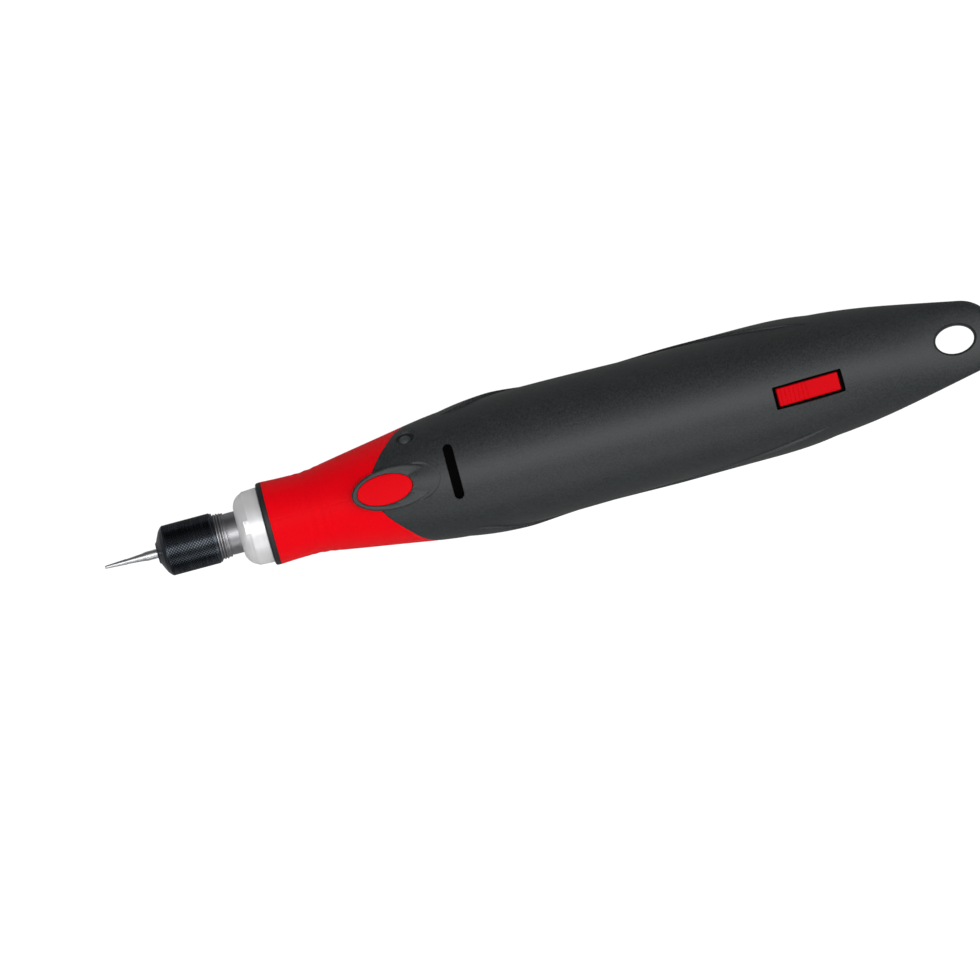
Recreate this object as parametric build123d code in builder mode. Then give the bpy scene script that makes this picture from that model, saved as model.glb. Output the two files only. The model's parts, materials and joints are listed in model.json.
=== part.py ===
from build123d import *
import os
from math import cos, dist, radians, sin, sqrt

# Pen sander, in millimetres. X runs along the tool with the grinding tip towards -X and the
# hang hole towards +X, the power button faces +Z, and the flat of the belly lies on Z = 0.

os.makedirs("parts", exist_ok=True)

# Lengths along the tool, from the tip back
bit_reach = 13.6          # bit that shows ahead of the chuck cap
cap_length = 15.4
thread_show = 2.7         # spindle thread left bare behind the cap
neck_show = 3.0           # smooth spindle ahead of the collar
collar_length = 6.8
ring_length = 1.5
ring_width = 2.6
body_length = 187.9       # red nose, grip and tail

# The body's outline
barrel_radius = 16.8
belly_flat = 0.5          # how far the belly's flat cuts into the barrel
swell_height = 0.75       # how far the flanks and belly stand out below the crease
skin_thickness = 1.2
wall_thickness = 1.6
seam_gap = 0.05           # between the grip skin and the housing under it
overrun = 1.0             # how far cutting shapes run past what they cut
body_station_shares = (
    0, 0.024, 0.0585, 0.077, 0.117, 0.157, 0.197, 0.237, 0.29, 0.37,
    0.45, 0.53, 0.65, 0.73, 0.782, 0.836, 0.889, 0.942, 1.006,
)
body_radius_shares = (
    0.631, 0.619, 0.625, 0.652, 0.726, 0.798, 0.872, 0.9375, 0.982, 1,
    0.988, 0.97, 0.961, 0.943, 0.899, 0.818, 0.708, 0.589, 0.446,
)
body_flatness_shares = (
    1, 1, 1, 1, 1, 1, 1, 1, 1, 1,
    1, 1, 1, 1, 0.954, 0.815, 0.588, 0.384, 0.32,
)
swell_shares = (-0.4, 0.8, 1, 0.8, 0.8, 0.75, 0.5, -0.5)
swell_station_shares = (0.237, 0.29, 0.37, 0.45, 0.53, 0.65, 0.73, 0.782)
skin_front_shares = ((0.112, 0.95), (0.15, 0.708), (0.173, 0.533), (0.197, 0.208), (0.21, 0))
crease_shares = (
    (0.229, 0.31), (0.277, 0.363), (0.327, 0), (0.447, -0.27),
    (0.566, 0), (0.675, 0.351), (0.745, 0.5), (0.78, 0.52),
)
housing_station_shares = (0.117, 0.237, 0.37, 0.53, 0.73, 0.782, 0.889)
cavity_station_shares = (0.077, 0.237, 0.37, 0.53, 0.73, 0.782, 0.836)

# Chuck
bit_length = 44.5
shank_radius = 1.175
bit_tip_radius = 0.4
bit_tip_length = 0.3
bit_crown_share = 0.6     # of the tip's radius, at its very end
bit_taper_radius = 0.98
bit_taper_length = 9.8
bit_shoulder_length = 1.0
bit_room = 1.5            # bore left behind the bit
cap_radius = 6.42
cap_mouth_radius = 2.1
cap_rim_width = 0.4
cap_nose_length = 3.7
cap_shoulder_length = 1.5
cap_shoulder_drop = 1.55  # how far the nose falls in from the cap's side at the shoulder
collet_recess = 0.15
collet_nose_length = 1.1
collet_cone_length = 2.9
collet_body_length = 9.2
collet_radius = 3.4
collet_slit = 0.4
collet_slit_length = 10.0
running_gap = 0.05
fit_gap = 0.15
thread_radius = 5.88
neck_radius = 5.3

# Nose parts
collar_front_radius = 6.3
collar_dome_length = 2.9
collar_dome_radius = 9.3
collar_bend_length = 1.05
collar_bend_radius = 8.35
collar_back_radius = 9.65
collar_lug_width = 3.6
collar_lug_length = 1.25
collar_lug_rise = 0.12

# Bearings and spindle
bearing_width = 5.0
bearing_inset = 1.0
bearing_spread = 8.0      # between the two bearings
journal_radius = 4.0
web_length = 2.0          # housing web behind the rear bearing
web_hole_radius = 5.0
hub_radius = 6.0
hub_length = 4.5
lock_hole_depth = 1.6
tang_length = 3.0
coupling_radius = 5.0
coupling_length = 7.0
coupling_web = 1.0

# Motor
motor_length = 30.0
motor_room = 1.1          # between the motor and the housing wall
motor_gap = 1.35          # from the coupling to the motor
motor_can_wall = 1.0
motor_shaft_radius = 1.0
motor_cap_length = 3.0
magnet_thickness = 2.2
magnet_length = 21.0
magnet_angle = 120.0
air_gap = 0.4
rotor_length = 18.0
rotor_slot = 3.0
rotor_core_radius = 3.5
terminal_width = 2.6
terminal_thickness = 0.5
terminal_length = 4.0
terminal_offset = 7.5
rib_thickness = 1.5
rib_inset = 4.0

# Battery compartment
battery_gap = 5.2         # from the motor to the tray
cell_length = 44.5
cell_room = 0.22          # between the cells and the tray's edge
tray_gap = 0.2
tray_wall = 1.2
tray_bar_width = 2.6
tray_bar_depth = 1.4
contact_thickness = 0.3
contact_radius = 3.0
leaf_length = 2.4         # room for the leaf that presses on each cell's flat end
leaf_width = 3.0
leaf_crown = 1.2
cover_half_width = 11.0
cover_gap = 0.25
cover_margin = 0.4        # the cover reaches this far short of each tray wall
cover_slant = 1.0         # lean of the cover's back edge, so that it can swing out

# Power button and its pad
pad_half_length = 11.0
pad_half_width = 5.33
pad_inset = 32.25         # pad centre behind the front of the body
pad_height = 14.3         # pad top above the axis
button_half_length = 7.1
button_half_width = 3.75
button_inset = 29.75
button_proud = 0.15
button_travel = 0.8
button_gap = 0.15
button_flange = 0.8
button_flange_drop = 5.5  # flange top below the pad top
button_rest_gap = 0.3     # left under the plunger when the button is down
board_thickness = 0.8
board_length = 10.0
board_half_width = 6.0
board_clear = 0.6         # between the board and the spindle
push_switch_size = 7.0
plunger_width = 2.6
ledge_height = 1.0
ledge_overlap = 0.5

# Spindle lock
lock_angle = 51.5         # from +Z towards +Y
lock_inset = 37.75        # lock button centre behind the front of the body
lock_radius = 1.7
lock_groove_radius = 2.3
lock_travel = 1.3
lock_flange_radius = 2.55
lock_flange_thickness = 0.8
lock_pin_radius = 1.1
lock_rest_gap = 0.35      # from the pin's end to the hub
lock_guide_wall = 0.65
lock_guide_floor = 0.8
lock_head_edge = 0.6
lock_spring_wire = 0.3
lock_spring_radius = 1.9
lock_spring_turns = 3

# Vent slot, slide switch and hang hole
slot_inset = 47.4
slot_width = 2.4
slot_length = 14.0
slot_ledge = 0.3          # how far the housing shows inside the slot
window_inset = 138.4
window_angle = -12.4
window_length = 17.3
window_width = 5.6
slider_gap = 0.5          # between the slider and the window's long sides
slider_travel = 0.8       # to each side of the middle
slider_recess = 0.45
track_depth = 0.6         # below the housing's surface
track_floor = 0.3
slide_switch_drop = 0.35  # switch top below the housing wall's level
slider_rib_pitch = 1.2
slider_rib_depth = 0.3
slider_rib_count = 6
switch_shift = 2.6
slide_switch_length = 8.6
slide_switch_width = 4.4
slide_switch_height = 3.6
switch_lever_size = 1.3
switch_board_margin = 1.0
hole_inset = 176.9
hole_half_length = 5.3
hole_half_width = 3.85

# Places along X worked out from the lengths
overall_length = (
    bit_reach + cap_length + thread_show + neck_show + collar_length + ring_length + body_length
)
tip_x = -overall_length / 2
cap_front = tip_x + bit_reach
cap_back = cap_front + cap_length
neck_front = cap_back + thread_show
collar_front = neck_front + neck_show
ring_front = collar_front + collar_length
body_front = ring_front + ring_length
tail_end = body_front + body_length
bearing_front = body_front + bearing_inset
bearing_back = bearing_front + bearing_width * 2 + bearing_spread
lock_x = body_front + lock_inset
hub_front = lock_x - hub_length / 2
hub_back = lock_x + hub_length / 2
spindle_back = hub_back + tang_length
coupling_front = spindle_back - tang_length + running_gap
coupling_back = coupling_front + coupling_length
motor_front = coupling_back + motor_gap
motor_back = motor_front + motor_length
tray_front = motor_back + battery_gap
tray_inner_front = tray_front + tray_wall
tray_inner_back = tray_inner_front + contact_thickness * 2 + leaf_length + cell_length
tray_back = tray_inner_back + tray_wall
pad_x = body_front + pad_inset
button_x = body_front + button_inset
slot_x = body_front + slot_inset
window_x = body_front + window_inset
hole_x = body_front + hole_inset

axis_height = barrel_radius - belly_flat
bearing_radius = barrel_radius * body_radius_shares[0] - ring_width
every_section = range(len(body_station_shares))
housing_sections = [body_station_shares.index(share) for share in housing_station_shares]
cavity_sections = [body_station_shares.index(share) for share in cavity_station_shares]
swell_sections = [body_station_shares.index(share) for share in swell_station_shares]
axis_plane = Plane(origin=(0, 0, axis_height), x_dir=(1, 0, 0), z_dir=(0, -1, 0))
tool_axis = Axis((0, 0, axis_height), (1, 0, 0))


# A plane across the tool, with +Y to its right and +Z up.
def across(x, turned=0):
    lean = radians(turned)
    return Plane(origin=(x, 0, axis_height), x_dir=(0, cos(lean), sin(lean)), z_dir=(1, 0, 0))


# A plane that faces out from the axis, its normal turned from +Z towards +Y by angle.
def facing(x, angle, distance):
    lean = radians(angle)
    out = (0, sin(lean), cos(lean))
    origin = (x, distance * out[1], axis_height + distance * out[2])
    return Plane(origin=origin, x_dir=(1, 0, 0), z_dir=out)


# A value at x from one of the body's tables, straight between the sections picked.
def from_sections(x, shares, picked):
    share = (x - body_front) / body_length
    for first, second in zip(picked, picked[1:]):
        low = body_station_shares[first]
        high = body_station_shares[second]
        if share <= high:
            return shares[first] + (shares[second] - shares[first]) * (share - low) / (high - low)
    return shares[picked[-1]]


def body_radius(x):
    return barrel_radius * from_sections(x, body_radius_shares, every_section)


def body_top(x):
    return body_radius(x) * from_sections(x, body_flatness_shares, every_section)


def cavity_radius(x):
    under = barrel_radius * from_sections(x, body_radius_shares, cavity_sections)
    return under - skin_thickness - wall_thickness


# The body's sections, each drawn in by inset and let out by its own share of the swell.
def envelope(inset, picked, swells=()):
    for order, number in enumerate(picked):
        half_width = barrel_radius * body_radius_shares[number]
        half_height = half_width * body_flatness_shares[number]
        growth = (swell_height * swells[order] if swells else 0) - inset
        with BuildSketch(across(body_front + body_length * body_station_shares[number])) as section:
            Ellipse(half_width + growth, half_height + growth)
        yield section.sketch


# Turns an outline of (x, radius) points about the tool's axis.
def turn(*outline, mode=Mode.ADD):
    with BuildSketch(axis_plane) as profile:
        with BuildLine():
            Polyline(*outline, close=True)
        make_face()
    revolve(profile.sketch, axis=tool_axis, mode=mode)


# A ring, or a disc where inner is 0, between two places along the axis.
def collar_of(front, back, outer, inner=0, mode=Mode.ADD):
    turn((front, inner), (back, inner), (back, outer), (front, outer), mode=mode)


# The side view's region behind the grip's front edge.
def grip_region():
    points = [
        (body_front + body_length * along, barrel_radius * up) for along, up in skin_front_shares
    ]
    lower = [(x, -z) for x, z in reversed(points[:-1])]
    with BuildSketch(axis_plane) as region:
        with BuildLine():
            edge = Spline(*points, *lower)
            Polyline(
                edge @ 1,
                (points[0][0], -barrel_radius * 2),
                (tail_end + overrun, -barrel_radius * 2),
                (tail_end + overrun, barrel_radius * 2),
                (points[0][0], barrel_radius * 2),
                edge @ 0,
            )
        make_face()
    return region.sketch


def save(piece, name):
    piece.part.label = name
    export_step(piece.part, "parts/" + name + ".step")


# Sizes that follow from the body
motor_radius = cavity_radius(motor_front) - motor_room
tray_radius = cavity_radius(tray_back) - tray_gap
cell_radius = (tray_radius - cell_room - running_gap * sqrt(2)) / (1 + sqrt(2))
cell_offset = cell_radius + running_gap
board_bottom = journal_radius + board_clear
lock_guide_radius = lock_flange_radius + fit_gap + lock_guide_wall
board_back = lock_x - lock_guide_radius - board_clear
board_front = board_back - board_length
button_bottom = pad_height - button_flange_drop
board_top = board_bottom + board_thickness
plunger_bottom = board_top + button_travel + button_rest_gap
push_switch_height = button_bottom - button_flange - button_travel - button_rest_gap - board_top
lock_top = body_radius(lock_x)
lock_pin_end = hub_radius + lock_rest_gap
lock_guide_end = lock_pin_end + lock_rest_gap
lock_seat = sqrt(cavity_radius(lock_x - lock_guide_radius) ** 2 - lock_guide_radius**2) - running_gap
lock_flange_top = sqrt(cavity_radius(lock_x - lock_flange_radius) ** 2 - lock_flange_radius**2) - fit_gap
web_back = bearing_back + web_length
cover_front = tray_inner_front + cover_margin
cover_back = tray_inner_back - cover_margin
cover_top = cell_offset + cell_radius + cover_gap
window_ends = (body_top(window_x - window_length / 2), body_top(window_x + window_length / 2))
window_slope = (window_ends[1] - window_ends[0]) / window_length
window_level = (window_ends[0] + window_ends[1]) / 2
tail_slope = (body_radius_shares[-2] - body_radius_shares[-1]) * barrel_radius / (
    (body_station_shares[-1] - body_station_shares[-2]) * body_length
)
tail_half_width = barrel_radius * body_radius_shares[-2] - tail_slope * body_length * (
    1 - body_station_shares[-2]
)
tail_radius = tail_half_width / (sqrt(1 + tail_slope**2) - tail_slope)


# A plane level with the window, this deep below the body's surface there.
def window_plane(depth, shift=0):
    lean = radians(window_angle)
    out = (sin(lean), cos(lean))
    surface = Plane(
        origin=(window_x, window_level * out[0], axis_height + window_level * out[1]),
        x_dir=(1, window_slope * out[0], window_slope * out[1]),
        z_dir=(-window_slope, out[0], out[1]),
    )
    return surface.offset(-depth).shift_origin(surface.origin - surface.z_dir * depth + surface.x_dir * shift)


# The whole outside of the body, its tail rounded off in the top view.
with BuildPart() as body_form:
    loft(list(envelope(0, every_section)))
    tail_centre = tail_end - tail_radius
    straight_end = tail_centre + tail_radius * tail_slope / sqrt(1 + tail_slope**2)
    with BuildSketch() as tail_outline:
        with Locations(((body_front + straight_end) / 2, 0)):
            Rectangle(straight_end - body_front, barrel_radius * 3)
        with Locations((tail_centre, 0)):
            Circle(tail_radius)
    extrude(tail_outline.sketch, amount=axis_height + barrel_radius * 2, mode=Mode.INTERSECT)

# The flanks and belly, which stand out below a crease that dips along each side
with BuildPart() as swell_form:
    loft(list(envelope(0, swell_sections, swell_shares)))
    with BuildSketch(axis_plane) as crease_region:
        with BuildLine():
            crease = Spline(*[
                (body_front + body_length * along, barrel_radius * up) for along, up in crease_shares
            ])
            Polyline(
                crease @ 1,
                ((crease @ 1).X, -barrel_radius * 2),
                ((crease @ 0).X, -barrel_radius * 2),
                crease @ 0,
            )
        make_face()
    extrude(crease_region.sketch, amount=barrel_radius * 2, both=True, mode=Mode.INTERSECT)

with BuildPart() as outside_form:
    add(body_form.part)
    add(swell_form.part)
    with BuildSketch() as belly_outline:
        Rectangle(overall_length * 2, barrel_radius * 4)
    extrude(belly_outline.sketch, amount=axis_height + barrel_radius * 2, mode=Mode.INTERSECT)

with BuildPart() as grip_zone:
    extrude(grip_region(), amount=barrel_radius * 2, both=True)

# The housing's outside: bare at the nose, and drawn in by the skin's thickness behind it
with BuildPart() as housing_form:
    add(body_form.part)
    add(grip_zone.part, mode=Mode.SUBTRACT)
    loft(list(envelope(skin_thickness, housing_sections)), ruled=True)

with BuildPart() as housing_cut:
    loft(list(envelope(-seam_gap, range(housing_sections[-1] + 1))))
    add(grip_zone.part, mode=Mode.SUBTRACT)
    loft(list(envelope(skin_thickness - seam_gap, housing_sections)), ruled=True)

with BuildPart() as cavity_form:
    loft(list(envelope(skin_thickness + wall_thickness, cavity_sections)), ruled=True)
    with BuildSketch(across(web_back)) as behind_web:
        Circle(barrel_radius * 2)
    extrude(behind_web.sketch, amount=body_length, mode=Mode.INTERSECT)


# The battery cover's side view, let out by gap.
def cover_region(gap):
    with BuildSketch(axis_plane) as region:
        with BuildLine():
            Polyline(
                (cover_front - gap, -barrel_radius * 2),
                (cover_back + gap, -barrel_radius * 2),
                (cover_back + gap, -axis_height),
                (cover_back + gap - cover_slant, -cover_top + gap),
                (cover_front - gap, -cover_top + gap),
                close=True,
            )
        make_face()
    return region.sketch


with BuildPart() as housing_hollow:
    add(cavity_form.part)
    collar_of(body_front - overrun, bearing_back, bearing_radius)
    collar_of(bearing_back - overrun, web_back + overrun, web_hole_radius)

# The hole for the power button, through the pad, the skin and the housing's wall
with BuildPart() as button_hole:
    with BuildSketch(facing(button_x, 0, 0)) as hole_outline:
        Ellipse(button_half_length + button_gap, button_half_width + button_gap)
    extrude(hole_outline.sketch, amount=barrel_radius * 2)

# Grip skin: one soft cover with its pad, vent slot, window, lock hole and hang hole
with BuildPart() as grip_skin:
    add(outside_form.part)
    add(grip_zone.part, mode=Mode.INTERSECT)
    with BuildSketch(facing(pad_x, 0, 0)) as pad_outline:
        Ellipse(pad_half_length, pad_half_width)
    extrude(pad_outline.sketch, amount=pad_height)
    with BuildSketch(facing(pad_x, 0, pad_height)) as scoop_outline:
        Ellipse(pad_half_length, pad_half_width)
    extrude(scoop_outline.sketch, amount=barrel_radius, mode=Mode.SUBTRACT)
    add(housing_cut.part, mode=Mode.SUBTRACT)
    add(button_hole.part, mode=Mode.SUBTRACT)
    with BuildSketch(facing(slot_x, 0, barrel_radius / 2)) as slot_outline:
        SlotOverall(slot_length, slot_width, rotation=90)
    extrude(slot_outline.sketch, amount=barrel_radius, mode=Mode.SUBTRACT)
    with BuildSketch(facing(lock_x, lock_angle, barrel_radius / 2)) as groove_outline:
        Circle(lock_groove_radius)
    extrude(groove_outline.sketch, amount=barrel_radius, mode=Mode.SUBTRACT)
    with BuildSketch(window_plane(barrel_radius / 2)) as window_outline:
        Rectangle(window_length, window_width)
    extrude(window_outline.sketch, amount=barrel_radius, mode=Mode.SUBTRACT)
    with BuildSketch(Plane.XY) as hang_outline:
        with Locations((hole_x, 0)):
            Ellipse(hole_half_length, hole_half_width)
    extrude(hang_outline.sketch, amount=axis_height + barrel_radius, mode=Mode.SUBTRACT)
    extrude(cover_region(cover_gap), amount=cover_half_width + cover_gap, both=True, mode=Mode.SUBTRACT)
save(grip_skin, "grip_skin")

# Battery cover: the piece of the belly under the cells, seated flush in the grip
with BuildPart() as battery_cover:
    add(outside_form.part)
    extrude(cover_region(0), amount=cover_half_width, both=True, mode=Mode.INTERSECT)
    add(cavity_form.part, mode=Mode.SUBTRACT)
save(battery_cover, "battery_cover")

# Housing, with its bearing seat, motor ribs and board ledges, parted down the middle
with BuildPart() as housing_ribs:
    for rib_x in (motor_front + rib_inset, motor_back - rib_inset - rib_thickness):
        collar_of(rib_x, rib_x + rib_thickness, barrel_radius, motor_radius + running_gap)
    ledge_inner = board_half_width - ledge_overlap
    for side in (-1, 1):
        with BuildSketch(facing(board_front + board_length / 2, 0, board_bottom)) as ledge:
            with Locations((0, side * (ledge_inner + barrel_radius) / 2)):
                Rectangle(board_length, barrel_radius - ledge_inner)
        extrude(ledge.sketch, amount=-ledge_height)
    add(housing_form.part, mode=Mode.INTERSECT)

with BuildPart() as housing:
    add(housing_form.part)
    add(housing_hollow.part, mode=Mode.SUBTRACT)
    add(housing_ribs.part)
    add(button_hole.part, mode=Mode.SUBTRACT)
    with BuildSketch(facing(slot_x, 0, barrel_radius / 2)) as inner_slot:
        SlotOverall(slot_length - slot_ledge * 2, slot_width - slot_ledge * 2, rotation=90)
    extrude(inner_slot.sketch, amount=barrel_radius, mode=Mode.SUBTRACT)
    with BuildSketch(facing(lock_x, lock_angle, barrel_radius / 2)) as lock_hole:
        Circle(lock_radius + fit_gap)
    extrude(lock_hole.sketch, amount=barrel_radius, mode=Mode.SUBTRACT)
    with BuildSketch(window_plane(skin_thickness + track_depth)) as track_recess:
        Rectangle(window_length, window_width)
    extrude(track_recess.sketch, amount=barrel_radius, mode=Mode.SUBTRACT)
    with BuildSketch(window_plane(barrel_radius / 2, switch_shift)) as lever_slot:
        Rectangle(switch_lever_size + slider_travel * 2 + fit_gap * 2, switch_lever_size + fit_gap * 2)
    extrude(lever_slot.sketch, amount=barrel_radius, mode=Mode.SUBTRACT)
    extrude(cover_region(cover_gap), amount=cover_half_width + cover_gap, both=True, mode=Mode.SUBTRACT)

with BuildPart() as housing_left:
    add(housing.part)
    split(bisect_by=Plane.XZ, keep=Keep.BOTTOM)
save(housing_left, "housing_left")

with BuildPart() as housing_right:
    add(housing.part)
    split(bisect_by=Plane.XZ, keep=Keep.TOP)
save(housing_right, "housing_right")

# Nose collar: a domed metal nose with an index lug, and a spigot in the bearing seat
collar_bore = neck_radius + running_gap * 2
dome_back = collar_front + collar_dome_length
with BuildPart() as nose_collar:
    turn(
        (collar_front, collar_bore),
        (collar_front, collar_front_radius),
        (collar_front + collar_bend_length, collar_bend_radius),
        (dome_back, collar_dome_radius),
        (ring_front, collar_back_radius),
        (ring_front, bearing_radius),
        (bearing_front, bearing_radius),
        (bearing_front, collar_bore),
    )
    with BuildSketch(facing(dome_back - collar_lug_length / 2, 0, collar_front_radius)) as lug:
        Rectangle(collar_lug_length, collar_lug_width)
    extrude(lug.sketch, amount=collar_dome_radius + collar_lug_rise - collar_front_radius)
save(nose_collar, "nose_collar")

# Dark trim ring between the collar and the red nose
with BuildPart() as nose_ring:
    collar_of(ring_front, body_front, barrel_radius * body_radius_shares[0], bearing_radius)
save(nose_ring, "nose_ring")

# Power button: an oval cap whose flange is trapped inside the housing
with BuildPart() as power_button:
    with BuildSketch(facing(button_x, 0, button_bottom)) as button_outline:
        Ellipse(button_half_length, button_half_width)
    extrude(button_outline.sketch, amount=pad_height + button_proud - button_bottom)
    with BuildSketch(facing(button_x, 0, button_bottom)) as flange_outline:
        Ellipse(button_half_length + button_flange, button_half_width + button_flange)
    extrude(flange_outline.sketch, amount=-button_flange)
save(power_button, "power_button")

# Circuit board on its ledges, with the push switch and the switch's plunger
with BuildPart() as circuit_board:
    with BuildSketch(facing(board_front + board_length / 2, 0, board_bottom)) as board_outline:
        Rectangle(board_length, board_half_width * 2)
    extrude(board_outline.sketch, amount=board_thickness)
save(circuit_board, "circuit_board")

with BuildPart() as push_switch:
    with BuildSketch(facing(button_x, 0, board_top)) as switch_outline:
        Rectangle(push_switch_size, push_switch_size)
        Rectangle(plunger_width + fit_gap, plunger_width + fit_gap, mode=Mode.SUBTRACT)
    extrude(switch_outline.sketch, amount=push_switch_height)
save(push_switch, "push_switch")

with BuildPart() as switch_plunger:
    with BuildSketch(facing(button_x, 0, plunger_bottom)) as plunger_outline:
        Rectangle(plunger_width, plunger_width)
    extrude(plunger_outline.sketch, amount=button_bottom - button_flange - plunger_bottom)
save(switch_plunger, "switch_plunger")

# Lock button: a domed head, a flange for its spring and a pin that drops into the hub
lock_axis = Axis(facing(lock_x, lock_angle, 0).origin, facing(lock_x, lock_angle, 0).z_dir)
with BuildPart() as lock_button:
    with BuildSketch(facing(lock_x, lock_angle, lock_flange_top)) as head:
        Circle(lock_radius)
    extrude(head.sketch, amount=lock_top - lock_flange_top)
    chamfer(faces().sort_by(lock_axis)[-1].edges(), lock_head_edge)
    with BuildSketch(facing(lock_x, lock_angle, lock_flange_top)) as flange:
        Circle(lock_flange_radius)
    extrude(flange.sketch, amount=-lock_flange_thickness)
    with BuildSketch(facing(lock_x, lock_angle, lock_pin_end)) as pin:
        Circle(lock_pin_radius)
    extrude(pin.sketch, amount=lock_flange_top - lock_pin_end)
save(lock_button, "lock_button")

# Cup that guides the lock button's pin and holds its spring
with BuildPart() as lock_guide:
    with BuildSketch(facing(lock_x, lock_angle, lock_guide_end)) as cup:
        Circle(lock_guide_radius)
    extrude(cup.sketch, amount=lock_seat - lock_guide_end)
    with BuildSketch(facing(lock_x, lock_angle, lock_guide_end + lock_guide_floor)) as bore:
        Circle(lock_flange_radius + fit_gap)
    extrude(bore.sketch, amount=barrel_radius, mode=Mode.SUBTRACT)
    with BuildSketch(facing(lock_x, lock_angle, lock_guide_end)) as pin_hole:
        Circle(lock_pin_radius + running_gap)
    extrude(pin_hole.sketch, amount=lock_guide_floor, mode=Mode.SUBTRACT)
save(lock_guide, "lock_guide")

# The lock's return spring: one unbroken coil round the pin, from the guide's floor to the flange
coil_start = lock_guide_end + lock_guide_floor + lock_spring_wire / 2
coil_height = lock_flange_top - lock_flange_thickness - lock_spring_wire / 2 - coil_start
coil_pitch = coil_height / lock_spring_turns
with BuildPart() as lock_spring:
    coil_plane = facing(lock_x, lock_angle, coil_start)
    with BuildLine() as coil:
        Helix(
            coil_pitch, coil_height, lock_spring_radius, center=coil_plane.origin, direction=coil_plane.z_dir
        )
    with BuildSketch(Plane(coil.line @ 0, z_dir=coil.line % 0, x_dir=coil_plane.z_dir)):
        Rectangle(lock_spring_wire, lock_spring_wire)
    sweep(is_frenet=True)
save(lock_spring, "lock_spring")

# The least gap between one curl and the next, measured on points along the coil
coil_steps = 60
coil_points = [tuple(coil.line @ (step / coil_steps)) for step in range(coil_steps + 1)]
apart = coil_steps // lock_spring_turns - 1
gaps = [
    dist(first, second) - lock_spring_wire
    for order, first in enumerate(coil_points)
    for second in coil_points[order + apart:]
]
print("lock spring, least gap to itself in mm:", round(min(gaps), 2))

# Slide switch under the window: red slider, its dark track, the switch, lever and board
track_top = skin_thickness + track_depth - track_floor
slider_bottom = track_top - running_gap
slider_length = window_length - slider_travel * 2 - fit_gap
slider_width = window_width - slider_gap * 2
switch_top = skin_thickness + wall_thickness + slide_switch_drop

with BuildPart() as slider_track:
    with BuildSketch(window_plane(skin_thickness + track_depth)) as track_outline:
        Rectangle(window_length - running_gap * 2, window_width - running_gap * 2)
        with Locations((switch_shift, 0)):
            Rectangle(
                switch_lever_size + slider_travel * 2 + fit_gap * 2,
                switch_lever_size + fit_gap * 2,
                mode=Mode.SUBTRACT,
            )
    extrude(track_outline.sketch, amount=track_floor)
save(slider_track, "slider_track")

with BuildPart() as speed_slider:
    with BuildSketch(window_plane(slider_bottom)) as slider_outline:
        Rectangle(slider_length, slider_width)
    extrude(slider_outline.sketch, amount=slider_bottom - slider_recess)
    with BuildSketch(window_plane(slider_recess + slider_rib_depth)) as groove_outline:
        for number in range(slider_rib_count):
            with Locations((-slider_length / 2 + slider_rib_pitch * (number + 1), 0)):
                Rectangle(slider_rib_pitch / 2, slider_width)
    extrude(groove_outline.sketch, amount=slider_rib_depth + overrun, mode=Mode.SUBTRACT)
save(speed_slider, "speed_slider")

with BuildPart() as switch_lever:
    with BuildSketch(window_plane(switch_top + slide_switch_height / 3, switch_shift)) as lever_outline:
        Rectangle(switch_lever_size, switch_lever_size)
    extrude(lever_outline.sketch, amount=switch_top + slide_switch_height / 3 - slider_bottom)
save(switch_lever, "switch_lever")

with BuildPart() as slide_switch:
    with BuildSketch(window_plane(switch_top + slide_switch_height, switch_shift)) as body_outline:
        Rectangle(slide_switch_length, slide_switch_width)
    extrude(body_outline.sketch, amount=slide_switch_height)
    lever_well = switch_top + slide_switch_height / 3 + fit_gap
    with BuildSketch(window_plane(lever_well, switch_shift)) as well_outline:
        Rectangle(
            switch_lever_size + slider_travel * 2 + fit_gap * 2,
            switch_lever_size + fit_gap * 2,
        )
    extrude(well_outline.sketch, amount=slide_switch_height, mode=Mode.SUBTRACT)
save(slide_switch, "slide_switch")

with BuildPart() as switch_board:
    with BuildSketch(window_plane(switch_top + slide_switch_height, switch_shift)) as board_outline:
        Rectangle(
            slide_switch_length + switch_board_margin * 2, slide_switch_width + switch_board_margin * 2
        )
    extrude(board_outline.sketch, amount=-board_thickness)
save(switch_board, "switch_board")

# Bearings: plain bronze bushes pressed into the housing, the spindle running in their bores
bearing_fronts = {"front": bearing_front + running_gap, "rear": bearing_back - bearing_width}
for place, bush_front in bearing_fronts.items():
    with BuildPart() as bush:
        collar_of(bush_front, bush_front + bearing_width, bearing_radius, journal_radius + running_gap)
    save(bush, place + "_bearing")

# Spindle: nose, neck, journal and a hub with two holes for the lock pin
collet_front = cap_front + collet_recess
collet_back = collet_front + collet_nose_length + collet_cone_length + collet_body_length
spindle_front = collet_front + collet_nose_length + collet_cone_length + fit_gap * 2
with BuildPart() as spindle:
    turn(
        (spindle_front, 0),
        (spindle_front, thread_radius),
        (neck_front, thread_radius),
        (neck_front, neck_radius),
        (bearing_front, neck_radius),
        (bearing_front, journal_radius),
        (hub_front, journal_radius),
        (hub_front, hub_radius),
        (hub_back, hub_radius),
        (hub_back, journal_radius),
        (spindle_back, journal_radius),
        (spindle_back, 0),
    )
    collar_of(spindle_front, collet_back, collet_radius + fit_gap, mode=Mode.SUBTRACT)
    collar_of(collet_back, tip_x + bit_length + bit_room, shank_radius + fit_gap, mode=Mode.SUBTRACT)
    for half_turn in (0, 180):
        with BuildSketch(facing(lock_x, lock_angle + half_turn, hub_radius - lock_hole_depth)) as hole:
            Circle(lock_pin_radius + fit_gap)
        extrude(hole.sketch, amount=hub_radius, mode=Mode.SUBTRACT)
save(spindle, "spindle")

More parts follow.
